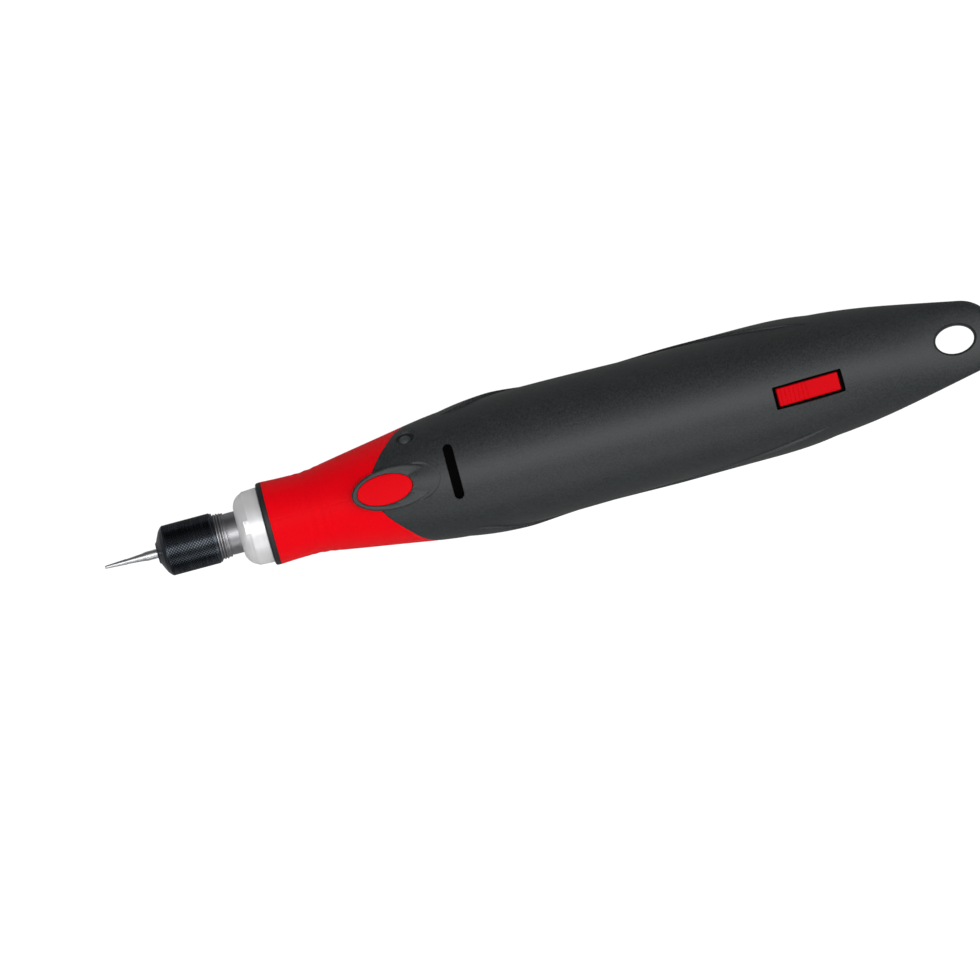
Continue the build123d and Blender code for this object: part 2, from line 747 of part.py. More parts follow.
# Collet: slit spring steel sleeve that the cap squeezes onto the bit
collet_nose_radius = cap_mouth_radius - fit_gap
collet_cone_front = collet_front + collet_nose_length
collet_cone_back = collet_cone_front + collet_cone_length
with BuildPart() as collet:
    turn(
        (collet_front, shank_radius + running_gap),
        (collet_front, collet_nose_radius),
        (collet_cone_front, collet_nose_radius),
        (collet_cone_back, collet_radius),
        (collet_back, collet_radius),
        (collet_back, shank_radius + running_gap),
    )
    for third in range(3):
        with BuildSketch(facing(collet_front, third * 120, 0)) as slit:
            Rectangle(collet_slit_length * 2, collet_slit)
        extrude(slit.sketch, amount=collet_radius + overrun, mode=Mode.SUBTRACT)
save(collet, "collet")

# Chuck cap: rounded nose, plain grip surface, a cone inside and the nut thread's bore
with BuildPart() as chuck_cap:
    turn(
        (cap_front, cap_mouth_radius),
        (cap_front, cap_mouth_radius + cap_rim_width),
        (cap_front + cap_shoulder_length, cap_radius - cap_shoulder_drop),
        (cap_front + cap_nose_length, cap_radius),
        (cap_back, cap_radius),
        (cap_back, thread_radius + running_gap),
        (spindle_front - fit_gap, thread_radius + running_gap),
        (spindle_front - fit_gap, collet_radius + fit_gap),
        (collet_cone_back, collet_radius + fit_gap),
        (collet_cone_front, cap_mouth_radius),
    )
save(chuck_cap, "chuck_cap")

# Grinding bit: a slender tapered point on a plain shank
with BuildPart() as grinding_bit:
    turn(
        (tip_x, 0),
        (tip_x, bit_tip_radius * bit_crown_share),
        (tip_x + bit_tip_length, bit_tip_radius),
        (tip_x + bit_taper_length, bit_taper_radius),
        (tip_x + bit_taper_length + bit_shoulder_length, shank_radius),
        (tip_x + bit_length, shank_radius),
        (tip_x + bit_length, 0),
    )
save(grinding_bit, "grinding_bit")

# Coupling: a nylon sleeve that joins the spindle's tang to the motor shaft
shaft_front = spindle_back + coupling_web
with BuildPart() as drive_coupling:
    collar_of(coupling_front, coupling_back, coupling_radius)
    collar_of(coupling_front, spindle_back + running_gap, journal_radius + running_gap, mode=Mode.SUBTRACT)
    collar_of(shaft_front, coupling_back, motor_shaft_radius, mode=Mode.SUBTRACT)
save(drive_coupling, "drive_coupling")

# Motor: can, magnets, rotor, shaft, end cap and terminals
can_bore = motor_radius - motor_can_wall
cap_inside = motor_back - motor_cap_length
magnet_bore = can_bore - magnet_thickness
rotor_radius = magnet_bore - air_gap
magnet_front = motor_front + motor_can_wall + fit_gap
rotor_front = magnet_front + (magnet_length - rotor_length) / 2
with BuildPart() as motor_can:
    collar_of(motor_front, motor_back, motor_radius)
    collar_of(motor_front + motor_can_wall, motor_back, can_bore, mode=Mode.SUBTRACT)
    collar_of(
        motor_front,
        motor_front + motor_can_wall,
        motor_shaft_radius + running_gap,
        mode=Mode.SUBTRACT,
    )
save(motor_can, "motor_can")

with BuildPart() as motor_magnets:
    for side in (0, 180):
        with BuildSketch(across(magnet_front, side - magnet_angle / 2)) as magnet_outline:
            with BuildLine():
                outer_arc = CenterArc((0, 0), can_bore - running_gap, 0, magnet_angle)
                inner_arc = CenterArc((0, 0), magnet_bore, 0, magnet_angle)
                Line(outer_arc @ 0, inner_arc @ 0)
                Line(outer_arc @ 1, inner_arc @ 1)
            make_face()
        extrude(magnet_outline.sketch, amount=magnet_length)
save(motor_magnets, "motor_magnets")

with BuildPart() as motor_rotor:
    collar_of(rotor_front, rotor_front + rotor_length, rotor_radius, motor_shaft_radius)
    for third in range(3):
        with BuildSketch(across(rotor_front, third * 120)) as rotor_gap:
            with Locations(((rotor_core_radius + rotor_radius + overrun) / 2, 0)):
                Rectangle(rotor_radius + overrun - rotor_core_radius, rotor_slot)
        extrude(rotor_gap.sketch, amount=rotor_length, mode=Mode.SUBTRACT)
save(motor_rotor, "motor_rotor")

with BuildPart() as motor_shaft:
    collar_of(shaft_front, motor_back - fit_gap, motor_shaft_radius)
save(motor_shaft, "motor_shaft")

with BuildPart() as motor_end_cap:
    collar_of(cap_inside, motor_back, can_bore - running_gap, motor_shaft_radius + running_gap)
    for side in (-1, 1):
        with BuildSketch(across(cap_inside)) as terminal_hole:
            with Locations((side * terminal_offset, 0)):
                Rectangle(terminal_thickness, terminal_width)
        extrude(terminal_hole.sketch, amount=motor_cap_length, mode=Mode.SUBTRACT)
save(motor_end_cap, "motor_end_cap")

with BuildPart() as motor_terminals:
    for side in (-1, 1):
        with BuildSketch(across(cap_inside)) as terminal:
            with Locations((side * terminal_offset, 0)):
                Rectangle(terminal_thickness, terminal_width)
        extrude(terminal.sketch, amount=motor_cap_length + terminal_length)
save(motor_terminals, "motor_terminals")

# Battery tray, open below: two end walls joined by three bars that run between the cells
cell_corners = ((1, 1), (-1, 1), (-1, -1), (1, -1))
with BuildPart() as battery_tray:
    collar_of(tray_front, tray_inner_front, tray_radius)
    collar_of(tray_inner_back, tray_back, tray_radius)
    for turn_angle in (0, 90, 180):
        bar_middle = tray_radius - tray_bar_depth / 2 - running_gap
        with BuildSketch(across(tray_inner_front, turn_angle)) as bar:
            with Locations((bar_middle, 0)):
                Rectangle(tray_bar_depth, tray_bar_width)
        extrude(bar.sketch, amount=tray_inner_back - tray_inner_front)
save(battery_tray, "battery_tray")

# Four cells, each turned the other way round from its neighbour, so that the leaf that presses
# on a flat end is at the front for two of them and at the back for the others
cell_front = tray_inner_front + contact_thickness
cell_back = tray_inner_back - contact_thickness
with BuildPart() as battery_cells:
    for number, (right, up) in enumerate(cell_corners):
        with BuildSketch(across(cell_front + leaf_length * (number % 2))) as can_outline:
            with Locations((right * cell_offset, up * cell_offset)):
                Circle(cell_radius)
        extrude(can_outline.sketch, amount=cell_length)
save(battery_cells, "battery_cells")

with BuildPart() as battery_contacts:
    for number, (right, up) in enumerate(cell_corners):
        for plate_x in (tray_inner_front, cell_back):
            with BuildSketch(across(plate_x)) as plate:
                with Locations((right * cell_offset, up * cell_offset)):
                    Rectangle(contact_radius * 2, contact_radius * 2)
            extrude(plate.sketch, amount=contact_thickness)
        foot = cell_front if number % 2 else cell_back
        reach = leaf_length if number % 2 else -leaf_length
        inside = reach - contact_thickness if number % 2 else reach + contact_thickness
        level = up * cell_offset
        with BuildSketch(axis_plane.offset(-right * cell_offset)) as leaf:
            with BuildLine():
                Polyline(
                    (foot, level + contact_radius),
                    (foot + reach, level + leaf_crown),
                    (foot + reach, level - leaf_crown),
                    (foot, level - contact_radius),
                    (foot, level + contact_thickness - contact_radius),
                    (foot + inside, level - leaf_crown),
                    (foot + inside, level + leaf_crown),
                    (foot, level + contact_radius - contact_thickness),
                    close=True,
                )
            make_face()
        extrude(leaf.sketch, amount=leaf_width / 2, both=True)
save(battery_contacts, "battery_contacts")
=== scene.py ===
import json
import math
import bmesh
import bpy
import numpy as np
from mathutils import Matrix, Vector


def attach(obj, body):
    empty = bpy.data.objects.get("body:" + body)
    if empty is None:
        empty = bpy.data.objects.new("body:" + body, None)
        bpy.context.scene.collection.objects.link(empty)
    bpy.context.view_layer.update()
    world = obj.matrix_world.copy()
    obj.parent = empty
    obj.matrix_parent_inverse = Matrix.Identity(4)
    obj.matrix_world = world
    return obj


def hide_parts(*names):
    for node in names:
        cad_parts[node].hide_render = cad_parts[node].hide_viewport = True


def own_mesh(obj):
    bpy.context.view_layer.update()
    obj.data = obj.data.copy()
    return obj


print("frame: loading the packed model")
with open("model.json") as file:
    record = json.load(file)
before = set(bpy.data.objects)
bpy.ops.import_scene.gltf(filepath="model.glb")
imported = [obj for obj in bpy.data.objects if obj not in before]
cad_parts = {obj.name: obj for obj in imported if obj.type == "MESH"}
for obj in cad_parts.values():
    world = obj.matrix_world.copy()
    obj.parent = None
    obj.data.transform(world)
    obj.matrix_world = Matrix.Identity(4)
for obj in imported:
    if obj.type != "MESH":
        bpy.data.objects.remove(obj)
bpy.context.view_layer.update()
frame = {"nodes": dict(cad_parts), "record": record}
nodes = frame["nodes"]
mm = 0.001
fullTurn = 2 * math.pi
weldDistance = 2e-7        # metres
thinEdge = 1e-5            # millimetres, what is left of an edge after a cut
mostOfEdge = 0.49          # a rounding takes less than half of each edge beside it


# small helpers: meshes, profiles and nodes

def cubicTable(xs, ys):
    # natural cubic through a table, held flat outside it
    xs, ys = np.array(xs, float), np.array(ys, float)
    count, steps = len(xs), np.diff(xs)
    system, right = np.eye(count), np.zeros(count)
    for i in range(1, count - 1):
        system[i, i - 1:i + 2] = steps[i - 1], 2 * (steps[i - 1] + steps[i]), steps[i]
        right[i] = 6 * ((ys[i + 1] - ys[i]) / steps[i] - (ys[i] - ys[i - 1]) / steps[i - 1])
    bend = np.linalg.solve(system, right)

    def at(x):
        x = np.clip(x, xs[0], xs[-1])
        i = np.clip(np.searchsorted(xs, x) - 1, 0, count - 2)
        t, h = x - xs[i], steps[i]
        slope = (ys[i + 1] - ys[i]) / h - h * (2 * bend[i] + bend[i + 1]) / 6
        return ys[i] + t * (slope + t * (bend[i] / 2 + t * (bend[i + 1] - bend[i]) / (6 * h)))
    return at


def smooth(t):
    # an even ease from 0 to 1
    t = np.clip(t, 0, 1)
    return t * t * (3 - 2 * t)


def shade(piece, angle=38):
    mesh = piece.data
    mesh.polygons.foreach_set("use_smooth", [True] * len(mesh.polygons))
    mesh.set_sharp_from_angle(angle=math.radians(angle))
    return piece


def linked(name, mesh):
    piece = bpy.data.objects.new(name, mesh)
    bpy.context.collection.objects.link(piece)
    return piece


def reworked(mesh, *steps):
    bm = bmesh.new()
    bm.from_mesh(mesh)
    for step in steps:
        step(bm)
    bm.to_mesh(mesh)
    bm.free()


def welded(bm):
    bmesh.ops.remove_doubles(bm, verts=bm.verts, dist=weldDistance)


def outwards(bm):
    bmesh.ops.recalc_face_normals(bm, faces=bm.faces)


def withoutThinEdges(bm):
    bmesh.ops.dissolve_degenerate(bm, edges=bm.edges, dist=thinEdge)


def meshPiece(name, points, faces, *steps):
    # points in millimetres, in the frame's own axes
    mesh = bpy.data.meshes.new(name)
    mesh.from_pydata((np.asarray(points, float) * mm).tolist(), [], [list(map(int, f)) for f in faces])
    reworked(mesh, *steps)
    return linked(name, mesh)


def ringFaces(rows, cols, wrapRows=False):
    # quads between each row and the next, the columns joined round
    here, first = np.arange(rows if wrapRows else rows - 1), np.arange(cols)
    there, second = (here + 1) % rows, (first + 1) % cols
    return np.stack([(row[:, None] * cols + col).ravel() for row, col in (
        (here, first), (here, second), (there, second), (there, first))], 1).tolist()


def closedGrid(name, grid, wrapRows=False):
    # rows of points joined round; the first and last rows are closed off, or joined to each other
    rows, cols = grid.shape[:2]
    points, faces = grid.reshape(-1, 3).tolist(), ringFaces(rows, cols, wrapRows)
    for row in () if wrapRows else (0, rows - 1):
        points.append(grid[row].mean(0).tolist())
        faces += [[row * cols + k, row * cols + (k + 1) % cols, len(points) - 1] for k in range(cols)]
    return meshPiece(name, points, faces, outwards, welded, outwards)


def halfTube(name, outer, inner):
    # rows of an outer line and an inner one run back, the open ends closed off
    rings = np.concatenate([outer, inner[:, ::-1]], axis=1)
    rows, count = rings.shape[:2]
    faces = ringFaces(rows, count)
    for first in (0, (rows - 1) * count):
        faces += [[first + k, first + k + 1, first + count - 2 - k, first + count - 1 - k]
                  for k in range(count // 2 - 1)]
    return meshPiece(name, rings.reshape(-1, 3), faces, outwards)


def rounded(corners, steps):
    # corners of (u, v, rounding); each corner with a rounding becomes a short arc
    out = []
    for i, (u, v, radius) in enumerate(corners):
        here = np.array((u, v), float)
        if radius <= 0:
            out.append(here)
            continue
        before = np.array(corners[i - 1][:2], float) - here
        after = np.array(corners[(i + 1) % len(corners)][:2], float) - here
        cut = min(radius, np.linalg.norm(before) * mostOfEdge, np.linalg.norm(after) * mostOfEdge)
        first = here + before / np.linalg.norm(before) * cut
        last = here + after / np.linalg.norm(after) * cut
        out += [first * (1 - t) ** 2 + here * 2 * t * (1 - t) + last * t * t for t in np.linspace(0, 1, steps)]
    return np.array(out)


def lathe(name, corners, around, steps=5, solid=False):
    # a profile of (x, radius, rounding) turned about the tool's axis; a solid one starts and ends on it
    if solid:
        corners = [(corners[0][0], 0, 0), *corners, (corners[-1][0], 0, 0)]
    profile = rounded(corners, steps)
    turn = np.linspace(0, fullTurn, around, endpoint=False)
    grid = np.zeros((len(profile), around, 3))
    grid[:, :, 0] = profile[:, 0, None]
    grid[:, :, 1] = profile[:, 1, None] * np.sin(turn)
    grid[:, :, 2] = body["axis"] + profile[:, 1, None] * np.cos(turn)
    return shade(closedGrid(name, grid, wrapRows=not solid))


def ovalLoop(cx, half, width, z, count=96):
    turn = np.linspace(0, fullTurn, count, endpoint=False)
    x, y = cx + half * np.cos(turn), width * np.sin(turn)
    return np.stack([x, y, z(x, y) if callable(z) else np.full(count, float(z))], -1)


def ovals(cx, size, steps, count=96):
    # an oval at each level, let out as its step says
    return [ovalLoop(cx, size[0] + grow, size[1] + grow, level, count) for level, grow in steps]


def barLoop(cx, length, width, z, grow=0.0, count=20, along=14):
    # a slot across the tool with round ends
    turn = np.linspace(0, math.pi, count)
    radius, straight = width / 2, length / 2 - width / 2
    first = np.stack([np.cos(turn) * (radius + grow), straight + np.sin(turn) * (radius + grow)], -1)
    side = np.linspace(straight, -straight, along)[1:-1]
    edge = np.stack([np.full(len(side), -radius - grow), side], -1)
    loop = np.vstack([first, edge, -first, -edge])
    x, y = cx + loop[:, 0], loop[:, 1]
    return np.stack([x, y, z(x, y)], -1)


def roundBox(halfLength, halfWidth, corner, w, middle=(0, 0, 0), steps=5):
    # a rounded rectangle as a loop of (u, v, w)
    quarter = np.linspace(0, math.pi / 2, steps)
    return np.vstack([np.stack([
        cu * (halfLength - corner) + corner * np.cos(quarter + start),
        cv * (halfWidth - corner) + corner * np.sin(quarter + start), np.full(steps, float(w))], -1)
        for cu, cv, start in ((1, 1, 0), (-1, 1, math.pi / 2), (-1, -1, math.pi), (1, -1, math.pi * 1.5))]) + middle


def lofted(name, loops, leaning=None):
    # loops joined into a closed form; leaning is (origin, u, w): u along the tool, v across, w outwards
    loops = np.array(loops, float)
    if leaning:
        origin, u, w = (np.array(part, float) for part in leaning)
        loops = loops @ np.stack([u, np.cross(w, u), w]) + origin
    return closedGrid(name, loops)


def settled(piece):
    # the plain mesh that the piece's modifiers make, in place of its old one
    bpy.context.view_layer.update()
    mesh = bpy.data.meshes.new_from_object(piece.evaluated_get(bpy.context.evaluated_depsgraph_get()))
    piece.modifiers.clear()
    old, piece.data = piece.data, mesh
    bpy.data.meshes.remove(old)
    return piece


def boolean(piece, cutter, operation="DIFFERENCE"):
    for part in (piece, cutter):    # the solver's own tolerance suits millimetres
        part.data.transform(Matrix.Scale(1 / mm, 4))
    mod = piece.modifiers.new("cut", "BOOLEAN")
    mod.operation, mod.object, mod.solver = operation, cutter, "MANIFOLD"
    mesh = settled(piece).data
    reworked(mesh, withoutThinEdges)
    mesh.transform(Matrix.Scale(mm, 4))
    bpy.data.objects.remove(cutter)
    if not len(mesh.polygons):
        raise RuntimeError(piece.name + " was lost in a cut")
    return piece


def joined(name, parts):
    merged = bmesh.new()
    for part in parts:
        merged.from_mesh(part.data)
        bpy.data.objects.remove(part)
    mesh = bpy.data.meshes.new(name)
    merged.to_mesh(mesh)
    merged.free()
    return linked(name, mesh)


def moved(piece, matrix):
    piece.data.transform(matrix)
    piece.data.update()
    return piece


def standing(u, v, w, origin):
    # the matrix that puts X, Y and Z along u, v and w at a place in metres
    return Matrix.Translation(origin) @ Matrix((u, v, w)).transposed().to_4x4()


def painted(piece, material):
    piece.data.materials.clear()
    piece.data.materials.append(material)
    return piece


def addNode(tree, kind, inputs=None, **settings):
    # an input is a plain value, a socket, or a node whose first output is meant
    node = tree.nodes.new(kind)
    for key, value in settings.items():
        setattr(node, key, value)
    for key, value in (inputs or {}).items():
        if isinstance(value, bpy.types.Node):
            value = value.outputs[0]
        if isinstance(value, bpy.types.NodeSocket):
            tree.links.new(value, node.inputs[key])
        else:
            node.inputs[key].default_value = value
    return node


def grown(name, build, material, values):
    # a Geometry Nodes tree with these values as named inputs, run on an empty mesh and made plain
    tree = bpy.data.node_groups.new(name, "GeometryNodeTree")
    tree.interface.new_socket(name="Geometry", in_out="OUTPUT", socket_type="NodeSocketGeometry")
    for key, value in values.items():
        kind = "NodeSocketInt" if isinstance(value, int) else "NodeSocketFloat"
        tree.interface.new_socket(name=key, in_out="INPUT", socket_type=kind).default_value = value
    last = build(tree, addNode(tree, "NodeGroupInput").outputs)
    real = addNode(tree, "GeometryNodeRealizeInstances", {"Geometry": last})
    paint = addNode(tree, "GeometryNodeSetMaterial", {"Geometry": real, "Material": material})
    addNode(tree, "NodeGroupOutput", {"Geometry": paint})
    piece = linked(name, bpy.data.meshes.new(name))
    mod = piece.modifiers.new("nodes", "NODES")
    mod.node_group = tree
    for item in tree.interface.items_tree:
        if item.in_out == "INPUT":
            mod[item.identifier] = values[item.name]
    return settled(piece)


# the body's outline, the same tables as the solids'

body = {
    "front": -72.45, "length": 187.9, "radius": 16.8, "axis": 16.3, "belly": 16.3,
    "stations": [0, 0.024, 0.0585, 0.077, 0.117, 0.157, 0.197, 0.237, 0.29, 0.37,
                 0.45, 0.53, 0.65, 0.73, 0.782, 0.836, 0.889, 0.942, 1.006],
    "radii": [0.631, 0.619, 0.625, 0.652, 0.726, 0.798, 0.872, 0.9375, 0.982, 1,
              0.988, 0.97, 0.961, 0.943, 0.899, 0.818, 0.708, 0.589, 0.446],
    "flatness": [1, 1, 1, 1, 1, 1, 1, 1, 1, 1, 1, 1, 1, 1, 0.954, 0.815, 0.588, 0.384, 0.32],
    "swell": [-0.4, 0.8, 1, 0.8, 0.8, 0.75, 0.5, -0.5],    # how far flank and belly stand out
    "swellHeight": 0.75, "swellFirst": 7,
    "crease": [(0.229, 0.31), (0.277, 0.363), (0.327, 0), (0.447, -0.27),
               (0.566, 0), (0.675, 0.351), (0.745, 0.5), (0.78, 0.52)],
    "creaseWidth": 0.5, "creaseGroove": 0.1, "grooveWidth": 0.22,
    "gripEdge": [(0.112, 0.95), (0.15, 0.708), (0.173, 0.533), (0.197, 0.208), (0.21, 0)],
    "tailRadius": 9.41, "tailEnd": 115.45, "tailRound": 1.7, "tailBlend": 6, "tailFlat": 1.84,
    "skin": 1.2, "wall": 1.6, "seam": 0.05,
}


def alongBody(table):
    # a cubic through (share of the length, share of the radius)
    return cubicTable(*np.array([(body["front"] + body["length"] * s, body["radius"] * up) for s, up in table]).T)


stationX = [body["front"] + body["length"] * s for s in body["stations"]]
widthAt = cubicTable(stationX, [body["radius"] * r for r in body["radii"]])
flatAt = cubicTable(stationX, body["flatness"])
swellX = stationX[body["swellFirst"]:body["swellFirst"] + len(body["swell"])]
swellAt = cubicTable(swellX, body["swell"])
creaseAt = alongBody(body["crease"])
edgeZ = [body["radius"] * up for s, up in body["gripEdge"]]
edgeX = [body["front"] + body["length"] * s for s, up in body["gripEdge"]]
gripEdgeAt = cubicTable([-z for z in edgeZ[:-1]] + edgeZ[::-1], edgeX[:-1] + edgeX[::-1])
tailCentre = body["tailEnd"] - body["tailRadius"]


def creaseAngle(x):
    return np.arccos(np.clip(creaseAt(x) / (widthAt(x) * flatAt(x)), -0.98, 0.98))


def tailEase(x, y, inset=0.0):
    # how much of its height the body keeps near the tail's rounded rim
    away = body["tailRadius"] - inset - np.hypot(x - tailCentre, y)
    ends = np.sqrt(np.clip(1 - (1 - np.clip(away / body["tailRound"], 0, 1)) ** 2, 0, 1))
    return 1 + smooth((x - tailCentre) / body["tailBlend"]) * (ends - 1)


def bodyPoint(x, turn, inset=0.0, swelled=True):
    # turn 0 is the top, positive towards +Y; inset draws the surface in
    x = np.asarray(x, float)
    half = widthAt(x) - inset
    rise = widthAt(x) * flatAt(x) - inset
    if swelled:
        below = (np.abs(turn) - creaseAngle(x)) * (half + rise) / 2
        out = (body["swellHeight"] * smooth(below / body["creaseWidth"])
               - body["creaseGroove"] * np.exp(-(below / body["grooveWidth"]) ** 2))
        out = np.maximum(swellAt(x), 0) * out * (x > swellX[0]) * (x < swellX[-1])
        half, rise = half + out, rise + out
    inTail = x > tailCentre + body["tailFlat"]
    reach = np.sqrt(np.maximum((body["tailRadius"] - inset) ** 2 - (x - tailCentre) ** 2, 0))
    side = np.where(inTail, np.minimum(half, reach), half) * np.sin(turn)
    up = np.sign(np.cos(turn)) * rise * np.sqrt(np.clip(1 - (side / half) ** 2, 0, 1))
    up = np.where(inTail, up * tailEase(x, side, inset), rise * np.cos(turn))
    up = np.maximum(up, -(body["belly"] - inset))
    return np.stack(np.broadcast_arrays(x, side, up + body["axis"]), -1)


def topAt(x, y):
    # height of the surface over the floor at a place in the top view
    lift = widthAt(x) * flatAt(x) * np.sqrt(np.clip(1 - (y / widthAt(x)) ** 2, 0, 1))
    return body["axis"] + lift * tailEase(x, y)


def gripEdge(turn, guess=-45.0, rounds=60):
    # where the black grip begins on this line along the body
    x = np.full_like(turn, guess)
    for _ in range(rounds):
        x = 0.5 * x + 0.5 * gripEdgeAt(widthAt(x) * np.cos(turn))
    return x


# places that the pieces share, in millimetres

place = {
    "padX": -40.2, "padTop": 30.6, "buttonX": -42.7, "lockX": -34.7, "lockAngle": 51.5,
    "slotX": -25.05, "windowX": 65.95, "windowAngle": -12.4, "windowReach": 8.65, "holeX": 104.45,
    "coverFront": 12.75, "coverBack": 59.45, "coverHalf": 11.0,
}
padTop = place["padTop"]
coverMiddle = (place["coverFront"] + place["coverBack"]) / 2
coverReach = (place["coverBack"] - place["coverFront"]) / 2

lean = math.radians(place["lockAngle"])
lockOut = (0, math.sin(lean), math.cos(lean))
lockOrigin = (place["lockX"], 0, body["axis"])
lockFrame = (lockOrigin, (1, 0, 0), lockOut)

windowEnds = [float(widthAt(x) * flatAt(x)) for x in (
    place["windowX"] - place["windowReach"], place["windowX"] + place["windowReach"])]
windowSlope = (windowEnds[1] - windowEnds[0]) / (2 * place["windowReach"])
windowLevel = sum(windowEnds) / 2
tilt = math.radians(place["windowAngle"])
windowAcross = np.array((1, windowSlope * math.sin(tilt), windowSlope * math.cos(tilt)))
windowAcross /= np.linalg.norm(windowAcross)
windowOut = np.array((-windowSlope, math.sin(tilt), math.cos(tilt)))
windowOut /= np.linalg.norm(windowOut)
windowOrigin = (place["windowX"], windowLevel * math.sin(tilt), body["axis"] + windowLevel * math.cos(tilt))
windowFrame = (windowOrigin, windowAcross, windowOut)
window = {"half": 8.95, "width": 2.93, "middle": (-0.28, 0.06, 0), "corner": 0.35,
          "lever": (1.6, 0.8, 0.1), "leverAt": (2.6, 0, 0)}


def windowBox(level, grow):
    # the window's outline at a level over the surface, let out by grow
    return roundBox(window["half"] + grow, window["width"] + grow, window["corner"] + grow, level, window["middle"])


def leverBoxes(*levels):
    return [roundBox(*window["lever"], level, window["leverAt"]) for level in levels]


def coverBox(level, grow, corner):
    return roundBox(coverReach + grow, place["coverHalf"] + grow, corner, level, (coverMiddle, 0, 0))


# materials

print("materials")


def hexColor(text):
    out = []
    for k in (0, 2, 4):
        c = int(text[k:k + 2], 16) / 255
        out.append(c / 12.92 if c <= 0.04045 else ((c + 0.055) / 1.055) ** 2.4)
    return (*out, 1.0)


def surfaced(name, base, dark, roughness, spread, bump, shine, pattern):
    # pattern gives the values that drive the tone between base and dark, the roughness and the relief
    material = bpy.data.materials.new(name)
    material.use_nodes = True
    tree = material.node_tree
    shader = tree.nodes["Principled BSDF"]
    for key, value in shine.items():
        shader.inputs[key].default_value = value
    tone, streak, relief = pattern(tree, addNode(tree, "ShaderNodeTexCoord").outputs["Object"])
    colour = addNode(tree, "ShaderNodeMix", {0: tone, 6: hexColor(dark), 7: hexColor(base)}, data_type="RGBA")
    rough = addNode(tree, "ShaderNodeMapRange", {
        "Value": streak, "From Min": 0.3, "From Max": 0.7,
        "To Min": max(roughness - spread, 0.02), "To Max": min(roughness + spread, 1.0)})
    raised = addNode(tree, "ShaderNodeBump", {"Height": relief, "Distance": bump * mm, "Strength": 1.0})
    for key, source in (("Base Color", colour.outputs[2]), ("Roughness", rough.outputs[0]),
                        ("Normal", raised.outputs[0])):
        tree.links.new(source, shader.inputs[key])
    return material


def finish(name, base, dark, roughness, metallic=0.0, grain=0.4, mottle=6.0, bump=0.02, bumpGrain=0.25,
           spread=0.08, ior=1.46, specular=0.5, cloudShare=0.5):
    # base and dark are mixed by a soft mottle; grain sizes are in millimetres
    def pattern(tree, coords):
        cloud, fine, speck = [addNode(tree, "ShaderNodeTexNoise", {
            "Vector": coords, "Scale": 1 / (size * mm), "Detail": detail, "Roughness": rough})
            for size, detail, rough in ((mottle, 3.0, 0.55), (bumpGrain, 2.0, 0.6), (grain, 2.0, 0.6))]
        both = addNode(tree, "ShaderNodeMix", {0: cloudShare, 2: speck, 3: cloud}, data_type="FLOAT")
        return addNode(tree, "ShaderNodeMapRange", {"Value": both, "From Min": 0.3, "From Max": 0.7}), speck, fine
    shine = {"Metallic": metallic}
    if metallic < 0.5:    # metals keep the shader's own gloss
        shine.update({"IOR": ior, "Specular IOR Level": specular})
    return surfaced(name, base, dark, roughness, spread, bump, shine, pattern)


def turnedFinish(name, base, dark, roughness, lineWidth, bump, metallic=1.0, spread=0.08, drift=0.06, mottle=5.0):
    # fine turning lines round the axis: noise read from the place along the axis and the radius,
    # which drifts a little on the way round
    def pattern(tree, coords):
        centred = addNode(tree, "ShaderNodeMapping", {"Vector": coords, "Location": (0, 0, -body["axis"] * mm)})
        at = addNode(tree, "ShaderNodeSeparateXYZ", {0: centred}).outputs
        flat = addNode(tree, "ShaderNodeCombineXYZ", {"Y": at["Y"], "Z": at["Z"]})
        radius = addNode(tree, "ShaderNodeVectorMath", {0: flat}, operation="LENGTH")
        around = addNode(tree, "ShaderNodeMath", {0: at["Y"], 1: at["Z"]}, operation="ARCTAN2")
        shift = addNode(tree, "ShaderNodeMath", {0: around, 1: drift * mm}, operation="MULTIPLY")
        unrolled = addNode(tree, "ShaderNodeCombineXYZ", {"X": at["X"], "Y": radius.outputs["Value"], "Z": shift})
        lines = addNode(tree, "ShaderNodeTexNoise", {
            "Vector": unrolled, "Scale": 1 / (lineWidth * mm), "Detail": 3.0, "Roughness": 0.6})
        cloud = addNode(tree, "ShaderNodeTexNoise", {"Vector": coords, "Scale": 1 / (mottle * mm), "Detail": 2.0})
        both = addNode(tree, "ShaderNodeMath", {0: lines, 1: cloud}, operation="ADD")
        return addNode(tree, "ShaderNodeMapRange", {"Value": both, "From Min": 0.6, "From Max": 1.4}), lines, lines
    return surfaced(name, base, dark, roughness, spread, bump, {"Metallic": metallic}, pattern)


# soft-touch elastomer: matte, with the fine spark grain of its mould and a faint wear mottle
softTouch = finish("softTouchElastomer", "303435", "15181a", 0.5, mottle=9, bump=0.035, bumpGrain=0.4,
                   ior=1.5, specular=0.45, cloudShare=0.12)
# injection-moulded ABS from a polished tool, with a slight flow ripple; the button and slider are moulded apart
redAbs = finish("mouldedRedAbs", "ea0212", "de0211", 0.5, grain=0.6, mottle=14, bump=0.002, bumpGrain=0.7,
                spread=0.04, ior=1.53, specular=0.04)
redButtonAbs = finish("redButtonAbs", "e40312", "d80311", 0.5, grain=0.5, mottle=8, bump=0.002, bumpGrain=0.6,
                      spread=0.05, ior=1.53, specular=0.04)
redSliderAbs = finish("redSliderAbs", "d20210", "c6020f", 0.45, grain=0.5, mottle=5, bump=0.002, bumpGrain=0.6,
                      spread=0.05, ior=1.53, specular=0.04)
# black ABS with a spark-eroded grain
blackAbs = finish("sparkGrainAbs", "34383a", "2a2d2e", 0.6, grain=0.3, mottle=7, bumpGrain=0.28, spread=0.07)
blackButton = finish("matteBlackButton", "3d4142", "333738", 0.5, grain=0.3, mottle=3, bump=0.008)
# pressed felt, dull; its near-black colour is painted shade, so that the vent slot reads dark
paintedShadeFelt = finish("pressedFeltPaintedShade", "0e0e0f", "070707", 0.95, grain=0.2, mottle=1.5, bump=0.05, bumpGrain=0.15,
                  spread=0.03, specular=0.1)
